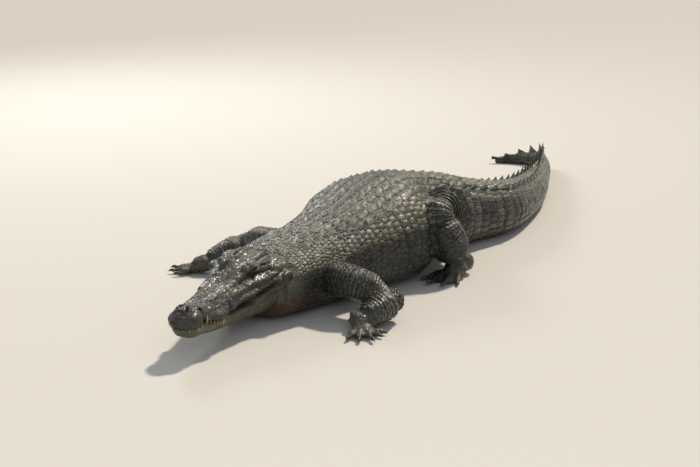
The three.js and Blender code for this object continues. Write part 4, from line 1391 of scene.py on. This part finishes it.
class CROC_OT_legs(bpy.types.Operator):
    """Lays the bands of overlapping scales round the legs"""
    bl_idname = "crocodile.legs"
    bl_label = "Leg scales"

    def execute(self, context):
        pitch = context.scene.crocodile_scales.leg / MM
        for index, name in enumerate(LIMBS):
            bands = Scales("band", band)
            relief = 0.2 if name.startswith("arm") else 0.28
            self.lay_limb(bands, name, pitch, relief, index)
            bands.join(f"leg_scales_{name}")
        return {"FINISHED"}

    def lay_limb(self, bands, name, pitch, relief, index):
        knots, thick = LIMBS[name]
        path, way, run = curve_points(knots)
        path = place(path)
        column = 0
        at = pitch * 0.5
        while at < run[-1]:
            share = at / run[-1]
            core = np.array([np.interp(at, run, path[:, k]) for k in range(3)])
            tangent = np.array([np.interp(at, run, way[:, k]) for k in range(3)])
            across = np.cross(tangent, (0, 0, 1.0))
            across /= np.linalg.norm(across)
            lift = np.cross(across, tangent)
            half = np.interp(share, np.linspace(0, 1, len(thick)), thick)
            count = max(8, int(round(2 * math.pi * half / (pitch * 1.9))))
            wide = 2 * math.pi * half / count
            for k in range(count):
                angle = (k + 0.5 * (column % 2)) / count * 2 * math.pi
                outward = across * math.sin(angle) + lift * math.cos(angle)
                found = cast(core, core + outward)
                if found is None or not 0.45 * half < found[2] / MM < 1.35 * half + 6:
                    continue
                root, normal, _ = found
                if normal @ outward < 0.62:
                    continue
                normal = normal + outward * 0.8
                normal /= np.linalg.norm(normal)
                if self.taken(root, pitch * 0.7) or near_paws(root[None])[0]:
                    continue
                spot = (0.03 + 0.24 * index + 0.2 * share, 0.02 + 0.96 * angle / 2 / math.pi % 1)
                bands.add(root - normal * 0.4 * MM, normal, tangent,
                          (pitch * 0.54 * jitter(0.08), wide * 0.52, pitch * relief * jitter(0.2)),
                          spot, RANDOM.uniform(-0.5, 0.5))
                self.keep(root)
            at += pitch * 0.92
            column += 1

    cells = {}

    def keep(self, root):
        self.cells.setdefault(tuple(np.floor(root / (10 * MM)).astype(int)), []).append(root)

    def taken(self, root, room):
        base = np.floor(root / (10 * MM)).astype(int)
        for code in range(27):
            step = (code % 3 - 1, code // 3 % 3 - 1, code // 9 - 1)
            for other in self.cells.get(tuple(base + step), ()):
                if np.linalg.norm(other - root) < room * MM:
                    return True
        return False


class CROC_OT_pebbles(bpy.types.Operator):
    """Fills what the large scales leave open with small round ones, smallest on face and feet"""
    bl_idname = "crocodile.pebbles"
    bl_label = "Pebbles"

    def execute(self, context):
        size = context.scene.crocodile_scales.pebble / MM
        data = surface()
        corners = data["points"][data["faces"]]
        area = np.linalg.norm(np.cross(corners[:, 1] - corners[:, 0], corners[:, 2] - corners[:, 0]), axis=1) / 2
        centre = corners.mean(1)
        on_head = near_head(centre, 1.02)
        on_paw = near_paws(centre)
        pitch = np.where(on_paw, 4.4, np.where(on_head, 6.0, size))
        wanted = area / (pitch * MM) ** 2 * 3.2
        picks = np.flatnonzero(RANDOM.random(len(area)) < wanted % 1)
        picks = np.concatenate([picks, np.repeat(np.arange(len(area)), wanted.astype(int))])
        RANDOM.shuffle(picks)
        mixed = RANDOM.random((len(picks), 2))
        flip = mixed.sum(1) > 1
        mixed[flip] = 1 - mixed[flip]
        spots = (corners[picks, 0] + (corners[picks, 1] - corners[picks, 0]) * mixed[:, :1]
                 + (corners[picks, 2] - corners[picks, 0]) * mixed[:, 1:])
        kept = self.spread(spots, pitch[picks])
        self.lay(spots[kept], data["ways"][data["faces"][picks[kept]]].mean(1), pitch[picks[kept]])
        return {"FINISHED"}

    def spread(self, spots, pitch):
        """Which places to keep, so that none is nearer than its pitch to another or to a scale."""
        cell = 0.012
        grid = {}
        for x, y, z, radius in LAID:
            grid.setdefault((int(x // cell), int(y // cell), int(z // cell)), []).append((x, y, z, radius * 0.86))
        big = KDTree(len(LAID))
        for k, (x, y, z, radius) in enumerate(LAID):
            big.insert((x, y, z), k)
        big.balance()
        kept = []
        taken = {}
        for k, (spot, room) in enumerate(zip(spots, pitch)):
            x, y, z = spot
            clear = True
            for _, other, away in big.find_n(spot, 3):
                if away < LAID[other][3] * 0.9 + room * MM * 0.3:
                    clear = False
                    break
            if not clear:
                continue
            base = (int(x // 0.008), int(y // 0.008), int(z // 0.008))
            room2 = (room * MM * 0.92) ** 2
            for code in range(27):
                key = (base[0] + code % 3 - 1, base[1] + code // 3 % 3 - 1, base[2] + code // 9 - 1)
                for u, v, w in taken.get(key, ()):
                    if (u - x) ** 2 + (v - y) ** 2 + (w - z) ** 2 < room2:
                        clear = False
                        break
                if not clear:
                    break
            if clear:
                taken.setdefault(base, []).append((x, y, z))
                kept.append(k)
        return np.array(kept)

    def lay(self, spots, ways, pitch):
        ways = ways / np.linalg.norm(ways, axis=1)[:, None]
        share = to_head(spots)
        on_head = near_head(spots, 1.02)
        on_paw = near_paws(spots)
        eyes = np.zeros(len(spots), bool)
        for side in (1, -1):
            centre, _, _, out = eye_axes(side)
            eyes |= (np.linalg.norm(spots - centre, axis=1) < 15 * MM)
        mouth = np.interp(share[:, 0], LIP_AT, LIP_UP)
        over_lip = share[:, 2] - mouth
        gape = np.interp(share[:, 0], GAPE_AT, GAPE)
        slit = on_head & (over_lip > -0.012) & (over_lip < gape + 0.012) & (share[:, 0] < 0.92)
        lump = np.linalg.norm(np.abs(share) - LUMP, axis=1)
        bone = (share[:, 2] > 0.11) & (share[:, 0] < 0.95) | (share[:, 0] < 0.2) | (lump < 0.045)
        at, left, _ = spine_place(spots)
        groups = {
            "face_scales": on_head & ~eyes & ~slit & ~bone,
            "paw_scales": on_paw & ~on_head,
            "neck_pebbles": ~on_head & ~on_paw & (at < 230),
            "body_pebbles": ~on_head & ~on_paw & (at >= 230),
        }
        along = np.stack([np.interp(at, SPINE_AT, SPINE_WAY[:, 0]), np.interp(at, SPINE_AT, SPINE_WAY[:, 1]),
                          0 * at], 1) + (0, 0, 1e-3)
        for name, chosen in groups.items():
            stones = Scales("pebble", pebble, 0.84)
            flat = {"face_scales": 0.07, "paw_scales": 0.16, "neck_pebbles": 0.3, "body_pebbles": 0.22}[name]
            for k in np.flatnonzero(chosen):
                size = pitch[k] * 0.6 * jitter(0.16)
                turn = math.atan2(left[k], 60) / math.pi
                stones.add(spots[k] - ways[k] * 0.25 * MM, ways[k], along[k],
                           (size * jitter(0.2), size, size * flat * 2),
                           (min(0.98, max(0.02, 0.02 + 0.96 * (at[k] + 420) / 2400)), 0.5 + turn * 0.9),
                           RANDOM.uniform(-0.35, 0.35))
            stones.join(name)


# ---------------------------------------------------------------- eyes, teeth and claws

class CROC_OT_eyes(bpy.types.Operator):
    """Makes the two eyeballs with iris, slit and a bulging cornea"""
    bl_idname = "crocodile.eyes"
    bl_label = "Eyes"

    def execute(self, context):
        for side, name in ((1, "eye_left"), (-1, "eye_right")):
            centre, along, up, out = eye_axes(side)
            bpy.ops.object.select_all(action="DESELECT")
            bpy.ops.mesh.primitive_uv_sphere_add(segments=48, ring_count=32, radius=EYE["radius"] * MM)
            piece = context.object
            turn = np.column_stack([along, np.cross(out, along), out])
            points = points_of(piece.data)
            aim = points[:, 2] / (EYE["radius"] * MM)
            points *= (1 + 0.05 * step_up(aim, 0.72, 0.95))[:, None]
            ring = step_up(-aim, -0.86, -0.78)
            slit = hill(points[:, 0] / MM, 0, 1.5) * step_up(aim, 0.8, 0.88)
            set_points(piece.data, points @ turn.T + centre)
            write_marks(piece.data, {"ring": ring, "slit": slit})
            only(piece)
            bpy.ops.object.shade_smooth()
            finish_piece(piece, f"eyeball_{name[4:]}", "eyeball",
                         shared_material("eye_wet_brown", eye_material), name)
        return {"FINISHED"}


class CROC_OT_teeth(bpy.types.Operator):
    """Makes the teeth that show outside the closed mouth"""
    bl_idname = "crocodile.teeth"
    bl_label = "Teeth"

    def execute(self, context):
        points, faces = self.model()
        parts, gums, all_faces = [], [], []
        for side in (1, -1):
            for at, out, long in UPPER_TEETH:
                self.stand(parts, gums, all_faces, points, faces, (at, side * out, long, -1))
            at, out, long = FOURTH_TOOTH
            self.stand(parts, gums, all_faces, points, faces, (at, side * (out + 0.004), long[side], 1))
        mesh = bpy.data.meshes.new("teeth")
        mesh.from_pydata(np.vstack(parts).tolist(), [], np.vstack(all_faces).tolist())
        mesh.update()
        write_marks(mesh, {"gum": np.concatenate(gums)})
        piece = bpy.data.objects.new("teeth", mesh)
        context.scene.collection.objects.link(piece)
        only(piece)
        bpy.ops.object.mode_set(mode="EDIT")
        bpy.ops.mesh.select_all(action="SELECT")
        bpy.ops.mesh.normals_make_consistent(inside=False)
        bpy.ops.object.mode_set(mode="OBJECT")
        bpy.ops.object.shade_smooth()
        finish_piece(piece, "teeth", "tooth", tooth_material())
        return {"FINISHED"}

    def model(self):
        """One tooth, a unit long and pointing up: a cone swelled and curved back."""
        bpy.ops.object.select_all(action="DESELECT")
        bpy.ops.mesh.primitive_cone_add(vertices=12, radius1=1, radius2=0.04, depth=1, location=(0, 0, 0))
        piece = bpy.context.object
        bpy.ops.object.mode_set(mode="EDIT")
        bpy.ops.mesh.select_all(action="SELECT")
        for height in (-0.3, -0.1, 0.1, 0.3, 0.42):
            bpy.ops.mesh.select_all(action="SELECT")
            bpy.ops.mesh.bisect(plane_co=(0, 0, height), plane_no=(0, 0, 1))
        bpy.ops.object.mode_set(mode="OBJECT")
        add_modifier(piece, "TRIANGULATE")
        points = points_of(piece.data)
        faces = np.array([tuple(face.vertices) for face in piece.data.polygons])
        bpy.data.objects.remove(piece)
        tall = points[:, 2] + 0.5
        swell = 1 + 0.35 * np.sin(tall * math.pi)
        points[:, :2] *= swell[:, None]
        points[:, 2] = tall
        points[:, 1] -= 0.9 * tall**2
        return points, faces

    def stand(self, parts, gums, all_faces, points, faces, spec):
        at, out, long, pointing = spec
        gum = np.interp(at, SEAM_AT, SEAM_UP) * 0.4 + np.interp(at, LIP_AT, LIP_UP) * 0.6
        root = from_head([at, out, gum - pointing * 0.2 * long / HEAD_LENGTH])
        thick = 0.9 + long * 0.13
        side = np.sign(out)
        shape = points * (thick, thick * 0.9, long)
        local = np.column_stack([shape[:, 0], shape[:, 1] * side * (1 if pointing > 0 else 0.6) * 0.6,
                                 shape[:, 2] * pointing])
        spots = root + (local * MM) @ HEAD_AXES.T
        all_faces.append(faces + sum(len(p) for p in parts))
        parts.append(spots)
        gums.append(1 - step_up(points[:, 2], 0.25, 0.6))


def digit_line(name, number):
    """(tip, way) of a digit of a paw, in the frame and in the floor's plane."""
    base, turn, side = PAWS[name]
    kind = name.split("_")[0]
    long, wide, thick = PALMS[kind]
    spread, reach, size = DIGITS[kind][number]
    angle = turn + spread * side
    middle = np.array([math.cos(turn), math.sin(turn)])
    across = np.array([math.cos(turn + math.pi / 2 * side), math.sin(turn + math.pi / 2 * side)])
    way = np.array([math.cos(angle), math.sin(angle)])
    start = np.array(base[:2]) + middle * long * 0.62 + across * spread * wide * 0.75
    tip = start + way * reach
    return place([*tip, size * 0.72]), np.array([*way, 0.0]), size, place([*start, thick * 0.75])


class CROC_OT_claws(bpy.types.Operator):
    """Makes the curved claws of the first three digits of each paw"""
    bl_idname = "crocodile.claws"
    bl_label = "Claws"

    def execute(self, context):
        bpy.ops.object.select_all(action="DESELECT")
        bpy.ops.mesh.primitive_cone_add(vertices=14, radius1=1, radius2=0.03, depth=1)
        piece = context.object
        bpy.ops.object.mode_set(mode="EDIT")
        for height in (-0.35, -0.2, -0.05, 0.1, 0.25, 0.38):
            bpy.ops.mesh.select_all(action="SELECT")
            bpy.ops.mesh.bisect(plane_co=(0, 0, height), plane_no=(0, 0, 1))
        bpy.ops.object.mode_set(mode="OBJECT")
        add_modifier(piece, "TRIANGULATE")
        shape = points_of(piece.data)
        faces = np.array([tuple(face.vertices) for face in piece.data.polygons])
        bpy.data.objects.remove(piece)
        for name in PAWS:
            parts, all_faces = [], []
            for number in range(3):
                tip, way, size, _ = digit_line(name, number)
                long = CLAW_LENGTH + 2
                tall = shape[:, 2] + 0.5
                swell = (1 - tall * 0.15) * (1 + 0.25 * np.sin(tall * math.pi))
                ahead = tall * long - 4
                side_way = np.cross(way, (0, 0, 1))
                arch = 1.0 + 2.4 * np.sin(tall * math.pi * 0.9) - 4.0 * tall**2
                spots = (tip + np.outer(ahead * MM, way)
                         + np.outer(shape[:, 0] * swell * size * 0.42 * MM, side_way)
                         + np.outer((shape[:, 1] * swell * size * 0.48 + arch) * MM, (0, 0, 1)))
                spots[:, 2] = np.maximum(spots[:, 2], 0.0003)
                all_faces.append(faces + len(shape) * number)
                parts.append(spots)
            mesh = bpy.data.meshes.new(f"claws_{name}")
            mesh.from_pydata(np.vstack(parts).tolist(), [], np.vstack(all_faces).tolist())
            mesh.update()
            made = bpy.data.objects.new(f"claws_{name}", mesh)
            context.scene.collection.objects.link(made)
            only(made)
            bpy.ops.object.mode_set(mode="EDIT")
            bpy.ops.mesh.select_all(action="SELECT")
            bpy.ops.mesh.normals_make_consistent(inside=False)
            bpy.ops.object.mode_set(mode="OBJECT")
            bpy.ops.object.shade_smooth_by_angle(angle=math.radians(50))
            finish_piece(made, f"claws_{name}", "horn", shared_material("horn_scuffed", claw_material),
                         *(f"{name}_claw_{k + 1}" for k in range(3)))
        return {"FINISHED"}


# ---------------------------------------------------------------- stage

CAMERA_PLAN = (-2886.8, -1800.2, 1075.4)      # millimetres, in the plan that the tables are in
CAMERA_TURN, CAMERA_DOWN = -56.0, 15.866      # degrees: round the vertical, and below level


class CROC_OT_stage(bpy.types.Operator):
    """Sets the pale floor, the soft lights and the camera"""
    bl_idname = "crocodile.stage"
    bl_label = "Stage"

    def execute(self, context):
        stage = context.scene.crocodile_stage
        bpy.ops.object.select_all(action="DESELECT")
        bpy.ops.mesh.primitive_plane_add(size=60)
        floor = context.object
        floor.name = "floor"
        material, tree, shader = new_material("paper_matt_pale")
        shader.inputs["Base Color"].default_value = rgba(stage.floor)
        shader.inputs["Roughness"].default_value = 0.9
        floor.data.materials.append(material)
        sun = bpy.data.lights.new("key", "SUN")
        sun.angle = math.radians(5)
        sun.energy = 3.1
        sun.color = linear("#fff3e0")
        key = bpy.data.objects.new("key", sun)
        context.scene.collection.objects.link(key)
        key.rotation_euler = Vector((-0.75, 0.04, -1)).to_track_quat("-Z", "Y").to_euler()
        self.softbox("fill", (-2.6, -2.2, 2.0), 2.2, 18, "#eaf0ff")
        self.softbox("back", (1.2, 2.6, 2.0), 0.9, 34, "#ffffff")
        world = bpy.data.worlds.new("studio")
        world.use_nodes = True
        back = world.node_tree.nodes["Background"]
        back.inputs["Color"].default_value = rgba(linear("#e3e7ec"))
        back.inputs["Strength"].default_value = 0.4
        context.scene.world = world
        camera = bpy.data.cameras.new("camera")
        camera.lens = stage.lens
        camera.sensor_width = 36
        camera.clip_end = 100
        holder = bpy.data.objects.new("camera", camera)
        context.scene.collection.objects.link(holder)
        holder.location = place(CAMERA_PLAN)
        holder.rotation_euler = (math.radians(90 - CAMERA_DOWN), 0, math.radians(CAMERA_TURN))
        context.scene.camera = holder
        context.scene.view_settings.view_transform = "Standard"
        return {"FINISHED"}

    def softbox(self, name, spot, size, power, colour):
        data = bpy.data.lights.new(name, "AREA")
        data.size = size
        data.energy = power
        data.color = linear(colour)
        lamp = bpy.data.objects.new(name, data)
        bpy.context.scene.collection.objects.link(lamp)
        lamp.location = spot
        lamp.rotation_euler = (-Vector(spot)).to_track_quat("-Z", "Y").to_euler()


# ---------------------------------------------------------------- panel and run

class CROC_PT_panel(bpy.types.Panel):
    bl_idname = "CROC_PT_panel"
    bl_label = "Crocodile"
    bl_space_type = "VIEW_3D"
    bl_region_type = "UI"
    bl_category = "Crocodile"

    def draw(self, context):
        for step in STEPS:
            self.layout.operator(step.bl_idname)
        for group in ("crocodile_form", "crocodile_scales", "crocodile_colours", "crocodile_stage"):
            settings = getattr(context.scene, group)
            for key in settings.__annotations__:
                self.layout.prop(settings, key)


STEPS = [
    CROC_OT_stage, CROC_OT_skin, CROC_OT_eyes, CROC_OT_teeth, CROC_OT_claws, CROC_OT_back,
    CROC_OT_crest, CROC_OT_flank, CROC_OT_belly, CROC_OT_tail, CROC_OT_legs, CROC_OT_pebbles,
]
SETTINGS = {
    "crocodile_form": CrocodileForm, "crocodile_scales": CrocodileScales,
    "crocodile_colours": CrocodileColours, "crocodile_stage": CrocodileStage,
}


def register():
    for made in (*SETTINGS.values(), *STEPS, CROC_PT_panel):
        bpy.utils.register_class(made)
    for name, group in SETTINGS.items():
        setattr(bpy.types.Scene, name, bpy.props.PointerProperty(type=group))


def unregister():
    for name in SETTINGS:
        delattr(bpy.types.Scene, name)
    for made in (CROC_PT_panel, *reversed(STEPS), *SETTINGS.values()):
        bpy.utils.unregister_class(made)


def main():
    import time
    register()
    start = time.time()
    for step in STEPS:
        group, name = step.bl_idname.split(".")
        getattr(getattr(bpy.ops, group), name)()
        print("done", name, round(time.time() - start, 1))


if __name__ == "__main__":
    main()
